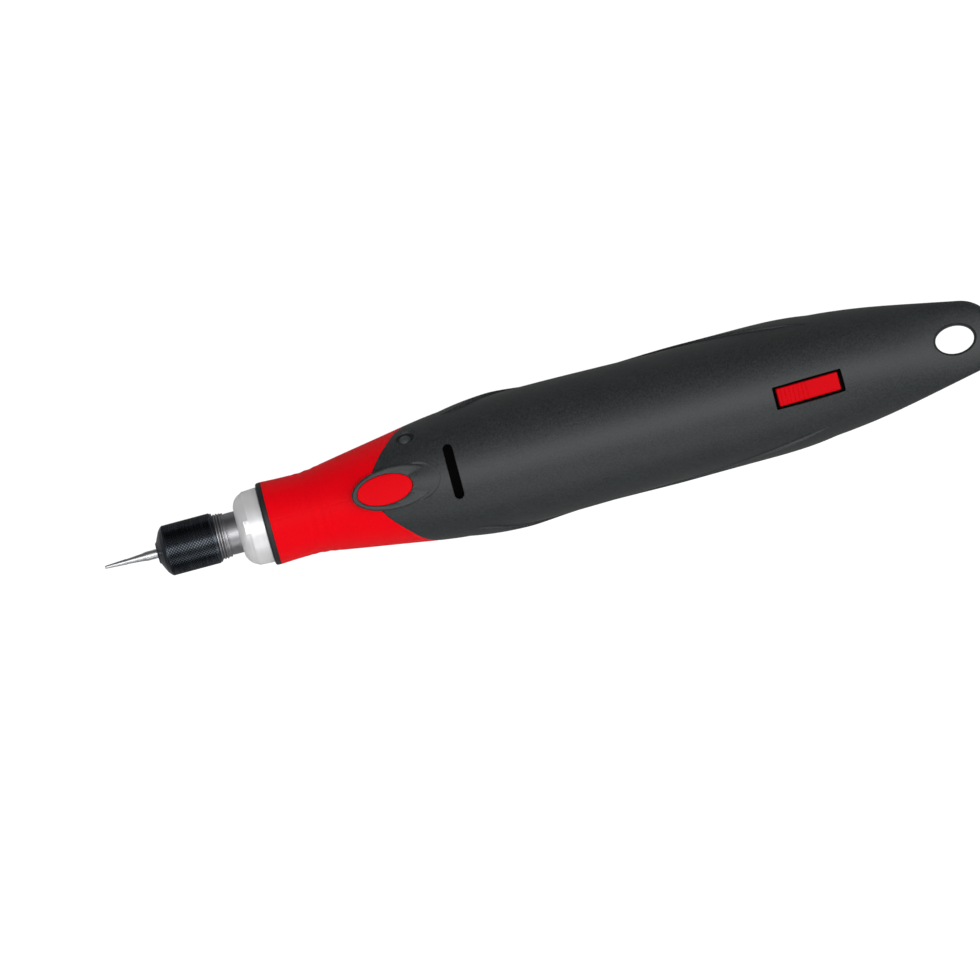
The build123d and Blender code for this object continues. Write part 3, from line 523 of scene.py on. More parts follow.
# moulded rubber: dark grey, dull, smooth
trimRubber = finish("mouldedTrimRubber", "1e2122", "161819", 0.55, grain=0.3, mottle=4, bump=0.012, bumpGrain=0.3)
# satin-anodised aluminium, bead blasted and then turned very lightly: pale, with a soft even sheen
satinAluminium = turnedFinish("satinAluminium", "f0f0f1", "e2e2e4", 0.42, 0.14, 0.0004, metallic=0.4)
# lathe-turned and ground steels; the lines are drawn coarser than the real ones so that they show
turnedSteel = turnedFinish("turnedSteel", "a8a8ab", "949498", 0.42, 0.16, 0.0003)
blackOxide = turnedFinish("blackOxideSteel", "575d64", "26292e", 0.25, 0.2, 0.0002)
groundSteel = turnedFinish("groundShankSteel", "d0d1d3", "c2c3c5", 0.36, 0.3, 0.0, spread=0.03)
shaftSteel = turnedFinish("shaftSteel", "c2c3c6", "a2a3a6", 0.2, 0.06, 0.001)
# diamond grains bonded in nickel: a fine grey sparkle
diamondGrit = finish("diamondGrit", "c8c9ca", "8d8f92", 0.45, metallic=0.6, grain=0.1, mottle=0.4,
                     bumpGrain=0.12)
# metals inside: plated sheet, drawn wire, pressed powder and stamped strip
motorSteel = finish("zincPlatedSteel", "9c9ea3", "83858a", 0.35, metallic=1.0, grain=0.5, mottle=3, bump=0.003)
springSteel = finish("drawnSpringSteel", "a8a9ac", "8b8c8f", 0.3, metallic=1.0, grain=0.2, mottle=1, bump=0.002)
bronze = finish("sinteredBronze", "a27c45", "7c5c30", 0.45, metallic=1.0, grain=0.15, mottle=2, bump=0.006,
                bumpGrain=0.12)
brass = finish("stampedBrass", "c9ab63", "a98a45", 0.3, metallic=1.0, grain=0.3, mottle=2, bump=0.003)
ferrite = finish("sinteredFerrite", "2c2c2e", "1f1f21", 0.7, grain=0.2, mottle=2, bump=0.01)
# plastics inside, plain moulded and nearly black; the nylon's near black is painted shade, so that the parts seen
# through the vent slot stay dark
nylon = finish("glassFilledNylonPaintedShade", "0d0d0e", "09090a", 0.6, mottle=4, bump=0.005, specular=0.2)
# the tray's near black is painted shade in the gap round the slider
trackPaintedShade = finish("trackPaintedShade", "060607", "040404", 0.8, mottle=4, bump=0.005, specular=0.05)
switchPlastic = finish("mouldedSwitchPlastic", "101112", "0a0b0c", 0.45, grain=0.3, mottle=2, bump=0.005)
boardMask = finish("solderMask", "125c33", "0d4a28", 0.35, grain=0.3, mottle=3, bump=0.004)
cellFilm = finish("shrinkFilm", "62666b", "4d5156", 0.3, metallic=0.3, grain=0.5, bump=0.004)

slotMaterials = {
    "soft_grip": softTouch, "red_abs": redAbs, "red_button": redButtonAbs, "black_abs": blackAbs,
    "black_button": blackButton, "satin_collar": satinAluminium, "trim_ring": trimRubber,
    "turned_steel": turnedSteel, "collet_steel": blackOxide, "black_oxide": blackOxide, "bit_steel": groundSteel,
    "shaft_steel": shaftSteel, "motor_steel": motorSteel, "spring_steel": springSteel, "bronze": bronze,
    "magnet": ferrite, "brass": brass, "board": boardMask, "switch_plastic": switchPlastic, "nylon": nylon,
    "cell_jacket": cellFilm,
}
nodeSlots = {row["node"]: row["material_slot"] for row in frame["record"]["subparts"]}
for name, node in nodes.items():
    painted(node, slotMaterials.get(nodeSlots.get(name), switchPlastic))


# grip skin: soft cover with its crease, pad, slot, window and hang hole

print("grip skin: surface")
grip = {
    "upper": 40, "lower": 30,                   # columns above and below the crease
    "lip": [0.08, 0.2, 0.34, 0.5, 0.8, 1.3],    # columns close below the crease, in mm
    "edgeFrom": -48.0, "frontRows": 66, "middleRows": 96, "tailRows": 46, "innerRows": 40,
    "straightFrom": -22.0, "tailFrom": 96.0, "innerEnd": 94.2,
    "edgeSteps": [(0.06, 0.16), (0.2, 0.04), (0.45, 0)],    # from the front edge, and how far drawn in
    "edgeBack": 0.35, "edgeGap": 0.9,
    "padHalf": 11.0, "padWidth": 5.33, "padEase": (-37.0, -29.0), "padSunk": 0.1,
    "grooveFade": 0.95, "grooveTop": 0.2,
    "scoopProfile": [(0.0, -0.3), (0.25, -0.27), (0.45, -0.12), (0.7, 0.1), (1.0, 0.42), (1.3, 0.9), (1.5, 1.6),
                     (1.6, 6)],    # how far out from the pad, and how high over it
    "padProfile": [(0, 0.6), (0.02, 0.42), (0.08, 0.24), (0.18, 0.1), (0.34, 0.02), (0.6, 0.0)],
    "padInner": (0.86, 0.7, 0.5, 0.3, 0.1), "padRoot": (0.6, 0.9),
    # holes: the size, and a list of (level, how far let out)
    "button": (7.25, 3.9), "slotSize": (14.0, 2.4), "lock": (2.3, 2.3), "hang": (5.3, 3.85), "coverCorner": 1.0,
    "buttonHole": [(20, 0), (29.5, 0), (29.7, -0.09), (30.45, -0.09), (30.56, -0.06), (30.6, 0.02), (33.6, 0.02)],
    "slot": [(-6, 0), (-0.3, 0), (-0.1, 0.03), (0.0, 0.1), (0.1, 0.2), (2, 0.2)],
    "lockGroove": [(10, -0.56), (13.96, -0.56), (14.0, -0.02), (14.3, 0), (14.5, 0.06), (14.7, 0.2),
                   (14.88, 0.42), (15.02, 0.75), (18, 0.75)],
    "windowHole": [(-6, 0), (-0.2, 0), (-0.08, 0.02), (0.02, 0.07), (0.15, 0.14), (4, 0.14)],
    "hangHole": [(-2, 0.3), (-0.05, 0.3), (0.12, 0.08), (0.4, -0.1), (1.0, -0.25), (1.8, -0.35)],
    "coverHole": [(-4, 0.2), (0.2, 0.2), (0.4, 0.12), (5.2, 0.12)],
}


def gripTurns(x, upper, lower):
    # angles from the top: down to the crease, close together below it, and on to the belly
    crease = creaseAngle(x)
    turns = [crease * share for share in upper] + [crease + gap / widthAt(x) for gap in grip["lip"]]
    return turns + [turns[-1] + (math.pi - turns[-1]) * share for share in lower]


def skinGrid():
    upper = np.linspace(0, 1, grip["upper"])
    lower = np.linspace(0, 1, grip["lower"])[1:]
    edge = gripEdge(np.array(gripTurns(np.float64(grip["edgeFrom"]), upper, lower)))
    start, straight, tail, end = edge.min(), grip["straightFrom"], grip["tailFrom"], body["tailEnd"]
    # the inner face, then the outer one: rows close together at the front lip, the pad and the tail's end
    rows = [(x, body["skin"], False) for x in np.linspace(grip["innerEnd"], start, grip["innerRows"])]
    rows += [(start, grip["edgeBack"], True)] + [(start + step, inset, True) for step, inset in grip["edgeSteps"]]
    rows += [(x, 0, True) for x in np.concatenate([
        np.linspace(start + grip["edgeGap"], straight, grip["frontRows"]),
        np.linspace(straight, tail, grip["middleRows"])[1:],
        end - (end - tail) * (1 - np.sin(np.linspace(0, math.pi / 2, grip["tailRows"])))[1:]])]
    grid = []
    for x, inset, outer in rows:
        lip = grip["edgeSteps"][-1][0] if outer else 0.0    # the lip keeps its width all the way round the edge
        share = np.clip((x - start - lip) / (straight - start - lip), 0, 1)
        at = edge + lip + (straight - edge - lip) * share
        if x - start <= lip:
            at = edge + (x - start)
        if x >= straight:
            at = np.full(len(edge), x)
        half = bodyPoint(at, np.diagonal(gripTurns(at, upper, lower)), inset, outer)
        grid.append(np.vstack([half, half[1:-1][::-1] * (1, -1, 1)]))
    return np.array(grid)


gripSkin = closedGrid("gripSkin", skinGrid())

print("grip skin: pad, slot, window and holes")


def padShare(x):
    # 0 under the button, 1 where the pad has eased into the body behind it
    return smooth((x - grip["padEase"][0]) / (grip["padEase"][1] - grip["padEase"][0]))


def padLevel(x, y):
    return padTop * (1 - padShare(x)) + (topAt(x, y) - grip["padSunk"]) * padShare(x)


def scoopLevel(x, y, level):
    # the groove round the pad fades out behind the button
    fade = grip["grooveFade"] * padShare(x) if level < grip["grooveTop"] else 0
    return padLevel(x, y) + level * (1 - fade)


def padOval(grow, level):
    return ovalLoop(place["padX"], grip["padHalf"] + grow, grip["padWidth"] + grow, level)


gripSkin = boolean(gripSkin, lofted("scoop", [
    padOval(grow, lambda x, y, level=level: scoopLevel(x, y, level)) for grow, level in grip["scoopProfile"]
]))
padLoops = [ovalLoop(place["padX"], grip["padHalf"] * share, grip["padWidth"] * share, padLevel)
            for share in grip["padInner"][::-1]]
padLoops += [padOval(-draw, lambda x, y, drop=drop: padLevel(x, y) - drop) for drop, draw in grip["padProfile"]]
padLoops.append(padOval(0, lambda x, y: np.minimum(topAt(x, y) - grip["padRoot"][0], padTop - grip["padRoot"][1])))
gripSkin = boolean(gripSkin, lofted("pad", padLoops), "UNION")


def hangLevel(side, drop):
    return lambda x, y: body["axis"] + side * (topAt(x, y) - body["axis"] - drop)


hangSteps = [(hangLevel(-1, drop), grow) for drop, grow in grip["hangHole"]]
hangSteps += [(hangLevel(1, drop), grow) for drop, grow in grip["hangHole"][::-1]]
cutters = [
    lofted("buttonHole", ovals(place["buttonX"], grip["button"], grip["buttonHole"])),
    lofted("slot", [barLoop(place["slotX"], *grip["slotSize"], lambda x, y, drop=drop: topAt(x, y) + drop, grow)
                    for drop, grow in grip["slot"]]),
    lofted("lockGroove", ovals(0, grip["lock"], grip["lockGroove"], 64), lockFrame),
    lofted("windowHole", [windowBox(*step) for step in grip["windowHole"]], windowFrame),
    lofted("hangHole", ovals(place["holeX"], grip["hang"], hangSteps)),
    lofted("coverHole", [coverBox(level, grow, grip["coverCorner"] + grow) for level, grow in grip["coverHole"]]),
]
gripSkin = painted(shade(boolean(gripSkin, joined("gripCuts", cutters)), 32), softTouch)
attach(gripSkin, "housing")
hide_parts("grip_skin")

# housing halves: bare red at the nose, under the skin behind it

print("housing: left and right half")
shell = {
    "columns": 52, "seamDepth": 0.03, "noseRows": 110, "backRows": 70, "back": 93.8,
    "boreEnd": -53, "bore": 8.03, "leastBore": 3.0,
    "rippleX": -61.1, "rippleDepth": 0.13, "ripplePitch": 2.6, "rippleReach": 4.2, "rippleEase": 1.2,
    "edgeSteps": [(0.12, 0.03), (0.05, 0.12), (0.03, 1.25)],    # ahead of the grip's edge, and how far drawn in
    "edgeGap": 0.3, "slot": (14.5, 2.9), "slotShift": (0, 0.3, 0), "lock": (2.15, 2.15),
    "coverGap": 0.12, "coverCorner": 0.6, "coverTop": 5.4, "track": (9.6, 3.5, 0.3), "trackFloor": -1.8,
}


def shellInner(x, across):
    # half the hollow's width or height: a round bore at the nose, a wall's depth under the skin behind it
    return np.where(x < shell["boreEnd"], shell["bore"],
                    np.maximum(across - body["skin"] - body["wall"], shell["leastBore"]))


def housingHalf(name, side):
    base = np.concatenate([[0, 0.012, 0.03], np.linspace(0.06, math.pi - 0.06, shell["columns"]),
                           [math.pi - 0.03, math.pi - 0.012, math.pi]])
    edge = gripEdge(base)
    seam = np.zeros(len(base))
    seam[[0, -1]] = shell["seamDepth"]
    seam[[1, -2]] = shell["seamDepth"] * 0.25
    rows = []
    for share in np.linspace(0, 1, shell["noseRows"]):
        x = body["front"] + (edge - shell["edgeGap"] - body["front"]) * share
        off = x - shell["rippleX"]
        ripple = shell["rippleDepth"] * (0.5 - 0.5 * np.cos(fullTurn * off / shell["ripplePitch"]))
        rows.append((x, ripple * smooth((shell["rippleReach"] - np.abs(off)) / shell["rippleEase"])))
    rows += [(edge - gap, inset) for gap, inset in shell["edgeSteps"]]
    rows += [(edge + (shell["back"] - edge) * share, body["skin"] + body["seam"])
             for share in np.linspace(0, 1, shell["backRows"])[1:]]
    outer = np.array([bodyPoint(x, base, inset + seam, swelled=False) for x, inset in rows])
    inner = np.array([np.stack([
        x, shellInner(x, widthAt(x)) * np.sin(base),
        body["axis"] + shellInner(x, widthAt(x) * flatAt(x)) * np.cos(base)], -1) for x, inset in rows])
    return halfTube(name, outer * (1, side, 1), inner * (1, side, 1))


def housingCuts(side):
    out = [
        lofted("buttonCut", ovals(place["buttonX"], grip["button"], ((20, 0), (40, 0)))),
        lofted("slotCut", [
            barLoop(place["slotX"], *shell["slot"], lambda x, y, level=level: np.full(len(x), float(level)))
            + shell["slotShift"] for level in (24, 40)]),
        lofted("coverCut", [coverBox(level, shell["coverGap"], shell["coverCorner"])
                            for level in (-4, shell["coverTop"])]),
    ]
    if side > 0:
        out.append(lofted("lockCut", ovals(0, shell["lock"], ((9, 0), (18, 0)), 48), lockFrame))
    else:
        out.append(lofted("trackCut", [roundBox(*shell["track"], level, window["middle"])
                                       for level in (shell["trackFloor"], 4)], windowFrame))
        out.append(lofted("leverCut", leverBoxes(-6, -1.7), windowFrame))
    return joined("housingCuts", out)


for name, side, node in (("housingLeft", 1, "housing_left"), ("housingRight", -1, "housing_right")):
    half = painted(shade(boolean(housingHalf(name, side), housingCuts(side)), 32), redAbs)
    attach(half, "housing")
    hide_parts(node)

# a near-black felt that closes the slot inside the housing wall; its colour is painted shade for the slot's dark
# inside
felt = {"length": 15.3, "width": 3.1, "low": 12.75, "thick": 0.45}    # a press fit in the slot
slotShadeFelt = painted(shade(lofted("slotShadeFelt", [
    barLoop(place["slotX"], felt["length"], felt["width"],
            lambda x, y, level=level: body["axis"] + np.sqrt(level ** 2 - y ** 2))
    for level in (felt["low"], felt["low"] + felt["thick"])
]), 32), paintedShadeFelt)
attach(slotShadeFelt, "housing")

# battery cover: the piece of the belly under the cells

print("battery cover")
cover = {"rows": 60, "columns": 48, "edge": 0.225, "edgeWidth": 0.45, "sideGap": 0.02, "boreGap": 0.05}


def coverPiece():
    outer, inner = [], []
    y = np.sin(np.linspace(-math.pi / 2, math.pi / 2, cover["columns"])) * (place["coverHalf"] - cover["sideGap"])
    for share in np.sin(np.linspace(-math.pi / 2, math.pi / 2, cover["rows"])):
        x = coverMiddle + share * coverReach
        swell = body["swellHeight"] * max(float(swellAt(x)), 0)
        low = np.minimum(np.sqrt((float(widthAt(x)) + swell) ** 2 - y ** 2), body["belly"])
        near = np.minimum(coverReach * (1 - abs(share)), place["coverHalf"] - np.abs(y))
        low = low - cover["edge"] * (1 - smooth(near / cover["edgeWidth"]))
        bore = float(widthAt(x)) - body["skin"] - body["wall"] - cover["boreGap"]
        outer.append(np.stack([np.full(len(y), x), y, body["axis"] - low], -1))
        inner.append(np.stack([np.full(len(y), x), y, body["axis"] - np.sqrt(bore ** 2 - y ** 2)], -1))
    return halfTube("batteryCover", np.array(outer), np.array(inner))


batteryCover = painted(shade(coverPiece(), 32), blackAbs)
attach(batteryCover, "battery_cover")
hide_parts("battery_cover")

# nose: satin collar with its index lug, and the dark ring

print("nose collar and ring")
nose = {
    "lugX": -78.4, "lugSize": (0.7, 1.8), "lugLow": 7.6, "lugTop": 9.42, "around": 160,
    "collar": [(-80.75, 5.42, 0.1), (-80.75, 6.15, 0.5), (-80.25, 7.45, 0.9), (-79.3, 8.6, 1.0),
               (-77.95, 9.22, 0.5), (-77.9, 9.36, 0.05), (-77.7, 9.42, 0.1), (-73.97, 9.65, 0.12),
               (-73.95, 8.02, 0), (-71.5, 8.0, 0), (-71.5, 5.42, 0)],
    "ring": [(-73.93, 8.03, 0), (-73.93, 10.25, 0.3), (-73.5, 10.57, 0.25), (-72.55, 10.6, 0.1),
             (-72.47, 10.5, 0), (-72.47, 8.03, 0)],
}
lug = lofted("indexLug", [
    roundBox(nose["lugSize"][0] - draw, nose["lugSize"][1] - draw, 0.3 - draw / 2, level)
    for level, draw in ((nose["lugLow"], 0), (nose["lugTop"] - 0.14, 0), (nose["lugTop"] - 0.04, 0.05),
                        (nose["lugTop"], 0.16))
], ((nose["lugX"], 0, body["axis"]), (1, 0, 0), (0, 0, 1)))
collar = lathe("noseCollar", nose["collar"], nose["around"], 7)
collar = painted(shade(boolean(collar, lug, "UNION"), 32), satinAluminium)
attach(collar, "housing")
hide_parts("nose_collar")

ring = painted(lathe("noseRing", nose["ring"], nose["around"]), trimRubber)
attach(ring, "housing")
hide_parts("nose_ring")

# power button: crowned oval cap on a hidden flange

print("buttons and slider")
button = {
    "half": 7.1, "width": 3.75, "top": 30.75, "crown": 0.18, "low": 25.1, "flange": 0.8,
    "edge": [(0.45, 0), (0.2, 0.01), (0.1, 0.05), (0.04, 0.12), (0.02, 0.24)],    # drop, and how far drawn in
}


def buttonOval(grow, level, share=1):
    return ovalLoop(place["buttonX"], button["half"] * share + grow, button["width"] * share + grow, level)


buttonRim = button["top"] - button["crown"]
buttonLoops = [buttonOval(button["flange"], button["low"] - button["flange"]),
               buttonOval(button["flange"], button["low"]), buttonOval(0, button["low"] + 0.01)]
buttonLoops += [buttonOval(-draw, buttonRim - drop + 0.02) for drop, draw in button["edge"]]
buttonLoops += [buttonOval(0, buttonRim + button["crown"] * (1 - (share / 0.95) ** 2), share)
                for share in (0.8, 0.6, 0.4, 0.2, 0.05)]
powerButton = painted(shade(lofted("powerButton", buttonLoops), 40), redButtonAbs)
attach(powerButton, "power_button")
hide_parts("power_button")

# lock button: domed head; its flange and pin stay hidden inside
lock = {
    "radius": 1.7, "top": 14.85, "dome": 1.35, "shares": (0.02, 0.25, 0.5, 0.7, 0.85, 0.95, 1.0),
    "stem": [(11.1, 1.7), (11.05, 2.55), (10.25, 2.55), (10.2, 1.1), (6.36, 1.1), (6.35, 1.0)],
}
domeSteps = [(lock["top"] - lock["dome"] * (1 - math.sqrt(1 - share ** 2 * 0.96)), lock["radius"] * share)
             for share in lock["shares"]]
lockLoops = ovals(0, (0, 0), domeSteps + lock["stem"], 64)
lockButton = painted(shade(lofted("lockButton", lockLoops, lockFrame), 40), blackButton)
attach(lockButton, "lock_button")
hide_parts("lock_button")

# chuck: cap with its diamond knurl, threaded spindle, and the bit

print("chuck cap and knurl")
cap = {
    "back": -86.45, "radius": 6.42, "knurlFront": -99.45, "knurlBack": -86.75,
    "knurlDepth": 0.21, "knurlAround": 50, "knurlRow": 0.39, "knurlSunk": 0.02,
    "knurlTop": 0.62,    # the flat top of each pyramid, as a share of its foot
}
root = cap["radius"] - cap["knurlDepth"]
chuckCap = lathe("chuckCap", [
    (-101.85, 2.1, 0.08), (-101.85, 2.5, 0.12), (-101.45, 2.9, 0.2), (-101.25, 3.4, 0.2), (-100.35, 5.3, 0.35),
    (-99.55, 6.2, 0.35), (cap["knurlFront"] + 0.1, 6.3, 0.03), (cap["knurlFront"] + 0.2, root, 0.02),
    (cap["knurlBack"], root, 0.02), (cap["knurlBack"] + 0.05, 6.25, 0.05), (cap["back"], 6.15, 0.08),
    (cap["back"], 5.94, 0.02), (-97.55, 5.94, 0), (-97.55, 3.55, 0), (-97.7, 3.55, 0), (-100.6, 2.1, 0.1),
], 192, 6)


def knurlPyramids(tree, given):
    # rows of small blunt pyramids round a cylinder along X, each row half a step round from the last
    known = {"index": addNode(tree, "GeometryNodeInputIndex")}
    for key, operation, *terms in (
        ("total", "MULTIPLY", "Around", "Rows"), ("column", "FLOORED_MODULO", "index", "Around"),
        ("share", "DIVIDE", "index", "Around"), ("row", "FLOOR", "share"), ("odd", "FLOORED_MODULO", "row", 2.0),
        ("shift", "MULTIPLY", "odd", 0.5), ("stepped", "ADD", "column", "shift"),
        ("part", "DIVIDE", "stepped", "Around"), ("angle", "MULTIPLY", "part", fullTurn),
        ("sine", "SINE", "angle"), ("cosine", "COSINE", "angle"), ("back", "MULTIPLY", "angle", -1.0),
        ("along", "MULTIPLY_ADD", "row", "Row step", "Start"), ("side", "MULTIPLY", "sine", "Radius"),
        ("up", "MULTIPLY_ADD", "cosine", "Radius", "Axis"),
    ):
        sources = [known.get(term) or given[term] if isinstance(term, str) else term for term in terms]
        known[key] = addNode(tree, "ShaderNodeMath", dict(enumerate(sources)), operation=operation)
    cloud = addNode(tree, "GeometryNodePoints", {"Count": known["total"]})
    where = addNode(tree, "ShaderNodeCombineXYZ", {"X": known["along"], "Y": known["side"], "Z": known["up"]})
    spread = addNode(tree, "GeometryNodeSetPosition", {"Geometry": cloud, "Position": where})
    turned = addNode(tree, "ShaderNodeCombineXYZ", {"X": known["back"]})
    pyramid = addNode(tree, "GeometryNodeMeshCone", {
        "Vertices": 4, "Radius Top": cap["knurlTop"], "Radius Bottom": 1.0, "Depth": 1.0}, fill_type="NGON")
    size = addNode(tree, "ShaderNodeCombineXYZ", {"X": given["Row step"], "Y": given["Width"], "Z": given["Depth"]})
    return addNode(tree, "GeometryNodeInstanceOnPoints", {
        "Points": spread, "Instance": pyramid, "Rotation": turned, "Scale": size})


knurl = grown("capKnurl", knurlPyramids, blackOxide, {
    "Around": cap["knurlAround"], "Rows": int((cap["knurlBack"] - cap["knurlFront"] - 0.4) / cap["knurlRow"]),
    "Radius": (root - cap["knurlSunk"]) * mm, "Row step": cap["knurlRow"] * mm,
    "Start": (cap["knurlFront"] + 0.45) * mm, "Axis": body["axis"] * mm,
    "Depth": (cap["knurlDepth"] + cap["knurlSunk"]) * mm, "Width": math.pi * root / cap["knurlAround"] * mm,
})
for piece in (chuckCap, knurl):
    painted(piece, blackOxide)
    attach(piece, "chuck_cap")
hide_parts("chuck_cap")

print("spindle and thread")
spindle = {
    "front": -97.4, "neck": -83.75, "core": 5.52, "pitch": 0.7, "neckRadius": 5.3, "threadBack": -84.5,
    "threadInset": 0.4, "threadRadius": 5.55, "threadRidge": 0.33,
    "pinHole": (1.25, 1.25), "pinHoleLow": 4.4, "hub": 6.0, "bore": 1.4, "cone": 3.55,
}
spindlePiece = lathe("chuckSpindle", [
    (spindle["front"], spindle["cone"], 0), (spindle["front"], spindle["core"], 0.15),
    (-84.3, spindle["core"], 0), (-84.25, 5.6, 0.05), (spindle["neck"], 5.6, 0.12),
    (spindle["neck"] + 0.1, 5.22, 0.05), (-83.4, 5.22, 0.05), (-83.35, spindle["neckRadius"], 0.02),
    (-71.45, spindle["neckRadius"], 0), (-71.45, 4.0, 0), (-36.95, 4.0, 0.1), (-36.95, spindle["hub"], 0.3),
    (-32.45, spindle["hub"], 0.3), (-32.45, 4.0, 0.1), (-29.45, 4.0, 0.2), (-29.45, spindle["bore"], 0),
    (-69.0, spindle["bore"], 0), (-88.5, spindle["bore"], 0), (-88.5, spindle["cone"], 0),
], 144)
pinLoops = ovals(0, spindle["pinHole"], ((spindle["pinHoleLow"], 0), (spindle["hub"] + 1, 0)), 48)
pinHoles = [lofted("pinHole", pinLoops, (lockOrigin, (1, 0, 0), np.array(lockOut) * turn)) for turn in (1, -1)]
spindlePiece = shade(boolean(spindlePiece, joined("pinHoles", pinHoles)))
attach(painted(spindlePiece, turnedSteel), "spindle")
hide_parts("spindle")


def woundWire(tree, given):
    # a wire or ridge wound on a helix, laid along X
    helix = addNode(tree, "GeometryNodeCurveSpiral", {
        "Resolution": 72, "Rotations": given["Turns"], "Start Radius": given["Radius"],
        "End Radius": given["Radius"], "Height": given["Height"]})
    upright = addNode(tree, "GeometryNodeSetCurveNormal", {"Curve": helix}, mode="Z_UP")
    ridge = addNode(tree, "GeometryNodeCurvePrimitiveCircle", {
        "Resolution": given["Sides"], "Radius": given["Ridge"]})
    tube = addNode(tree, "GeometryNodeCurveToMesh", {"Curve": upright, "Profile Curve": ridge, "Fill Caps": True})
    return addNode(tree, "GeometryNodeTransform", {"Geometry": tube, "Rotation": (0, math.pi / 2, 0)})


threadLength = spindle["threadBack"] - spindle["front"] - 0.5
thread = grown("spindleThread", woundWire, turnedSteel, {
    "Turns": threadLength / spindle["pitch"], "Radius": spindle["threadRadius"] * mm, "Height": threadLength * mm,
    "Ridge": spindle["threadRidge"] * mm, "Sides": 4,
})
moved(thread, Matrix.Translation(((spindle["front"] + spindle["threadInset"]) * mm, 0, body["axis"] * mm)))
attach(painted(thread, turnedSteel), "spindle")

# the lock's return spring between its cup and the flange, drawn at rest
spring = {"wire": 0.3, "radius": 1.9, "turns": 3.0, "low": 7.65, "high": 10.1, "seat": 7.5, "keep": 0.5}
springPiece = grown("returnSpring", woundWire, springSteel, {
    "Turns": spring["turns"], "Radius": spring["radius"] * mm, "Height": (spring["high"] - spring["low"]) * mm,
    "Ridge": spring["wire"] / 2 * mm, "Sides": 12,
})
springOut, springSide = Vector(lockOut), Vector((1, 0, 0))
moved(springPiece, standing(springOut, springSide, springOut.cross(springSide),
                            (Vector(lockOrigin) + springOut * spring["low"]) * mm))
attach(painted(shade(springPiece, 60), springSteel), "housing")
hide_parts("lock_spring")
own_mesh(springPiece)

print("bit")
bit = {"tip": -115.45, "length": 44.5, "tipRadius": 0.4, "taperEnd": 9.8, "taperRadius": 0.98, "shank": 1.17,
       "headLength": 5.6, "headRadius": 0.74, "neckRadius": 0.66, "grit": 0.035, "gritCount": 1.1e8, "gritSeed": 7}
grindingBit = lathe("grindingBit", [(bit["tip"] + along, radius, rounding) for along, radius, rounding in (
    (0.02, 0.3, 0.3), (0.4, bit["tipRadius"], 0.2), (bit["headLength"], bit["headRadius"] - 0.02, 0.12),
    (bit["headLength"] + 0.15, bit["neckRadius"], 0.1), (bit["taperEnd"], bit["taperRadius"], 0.2),
    (bit["taperEnd"] + 1.0, bit["shank"], 0.3), (bit["length"] - 0.3, bit["shank"], 0.1),
    (bit["length"], bit["shank"] - 0.295, 0.05),
)], 64, 6, solid=True)
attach(painted(grindingBit, groundSteel), "grinding_bit")
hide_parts("grinding_bit")


def bondedGrains(tree, given):
    # small grains bonded to a slender cone along X, spread by a fixed seed; Density is grains on a square metre
    cone = addNode(tree, "GeometryNodeMeshCone", {
        "Vertices": 32, "Side Segments": 12, "Radius Top": given["Back radius"],
        "Radius Bottom": given["Front radius"], "Depth": given["Length"]})
    spread = addNode(tree, "GeometryNodeDistributePointsOnFaces", {
        "Mesh": cone, "Density": given["Density"], "Seed": given["Seed"]})
    grain = addNode(tree, "GeometryNodeMeshIcoSphere", {"Radius": given["Grain"], "Subdivisions": 1})
    size = addNode(tree, "FunctionNodeRandomValue", {2: 0.55, 3: 1.0, "Seed": given["Seed"]}, data_type="FLOAT")
    placed = addNode(tree, "GeometryNodeInstanceOnPoints", {
        "Points": spread, "Instance": grain, "Rotation": spread.outputs["Rotation"], "Scale": size.outputs[1]})
    return addNode(tree, "GeometryNodeTransform", {"Geometry": placed, "Rotation": (0, math.pi / 2, 0)})


grit = grown("bitGrit", bondedGrains, diamondGrit, {
    "Length": (bit["headLength"] - 0.5) * mm, "Front radius": (bit["tipRadius"] - 0.03) * mm,
    "Back radius": (bit["headRadius"] - 0.05) * mm, "Grain": bit["grit"] * mm, "Density": bit["gritCount"],
    "Seed": bit["gritSeed"],
})
moved(grit, Matrix.Translation(((bit["tip"] + 0.35) * mm, 0, body["axis"] * mm)))
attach(painted(shade(grit, 60), diamondGrit), "grinding_bit")

# speed slider: a red block with ribs at its nose end, in a tray made near black as painted shade

slider = {
    "half": 8.05, "middle": -0.28, "width": 2.3, "corner": 0.35, "top": -0.45,
    "edge": [(-1.45, 0.05, 0), (-1.35, 0, 0), (-0.65, 0.02, 0.1), (-0.53, 0.08, 0.12),
             (-0.47, 0.2, 0.12), (-0.47, 0.5, 0.12)],    # level, drawn in all round, and at the ends as well
    "ribs": 7, "pitch": 1.1, "ribWidth": 0.4, "ribHeight": 0.24, "ribFirst": 1.0, "ribSunk": 0.11,
}
sliderBlock = lofted("speedSlider", [
    roundBox(slider["half"] - ends - draw, slider["width"] - draw, slider["corner"], level, (slider["middle"], 0, 0))
    for level, draw, ends in slider["edge"]
], windowFrame)
shade(sliderBlock, 40)
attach(painted(sliderBlock, redSliderAbs), "speed_slider")
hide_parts("speed_slider")


def ribBars(tree, given):
    # a line of bars along X, each lying along Y
    offset = addNode(tree, "ShaderNodeCombineXYZ", {"X": given["Pitch"]})
    line = addNode(tree, "GeometryNodeMeshLine", {"Count": given["Count"], "Offset": offset})
    size = addNode(tree, "ShaderNodeCombineXYZ", {"X": given["Height"], "Y": given["Width"], "Z": given["Length"]})
    rod = addNode(tree, "GeometryNodeMeshCylinder", {"Vertices": 16, "Radius": 0.5, "Depth": 1.0}, fill_type="NGON")
    sized = addNode(tree, "GeometryNodeTransform", {"Geometry": rod, "Scale": size})
    turned = addNode(tree, "GeometryNodeTransform", {"Geometry": sized, "Rotation": (math.pi / 2, 0, 0)})
    return addNode(tree, "GeometryNodeInstanceOnPoints", {"Points": line, "Instance": turned})


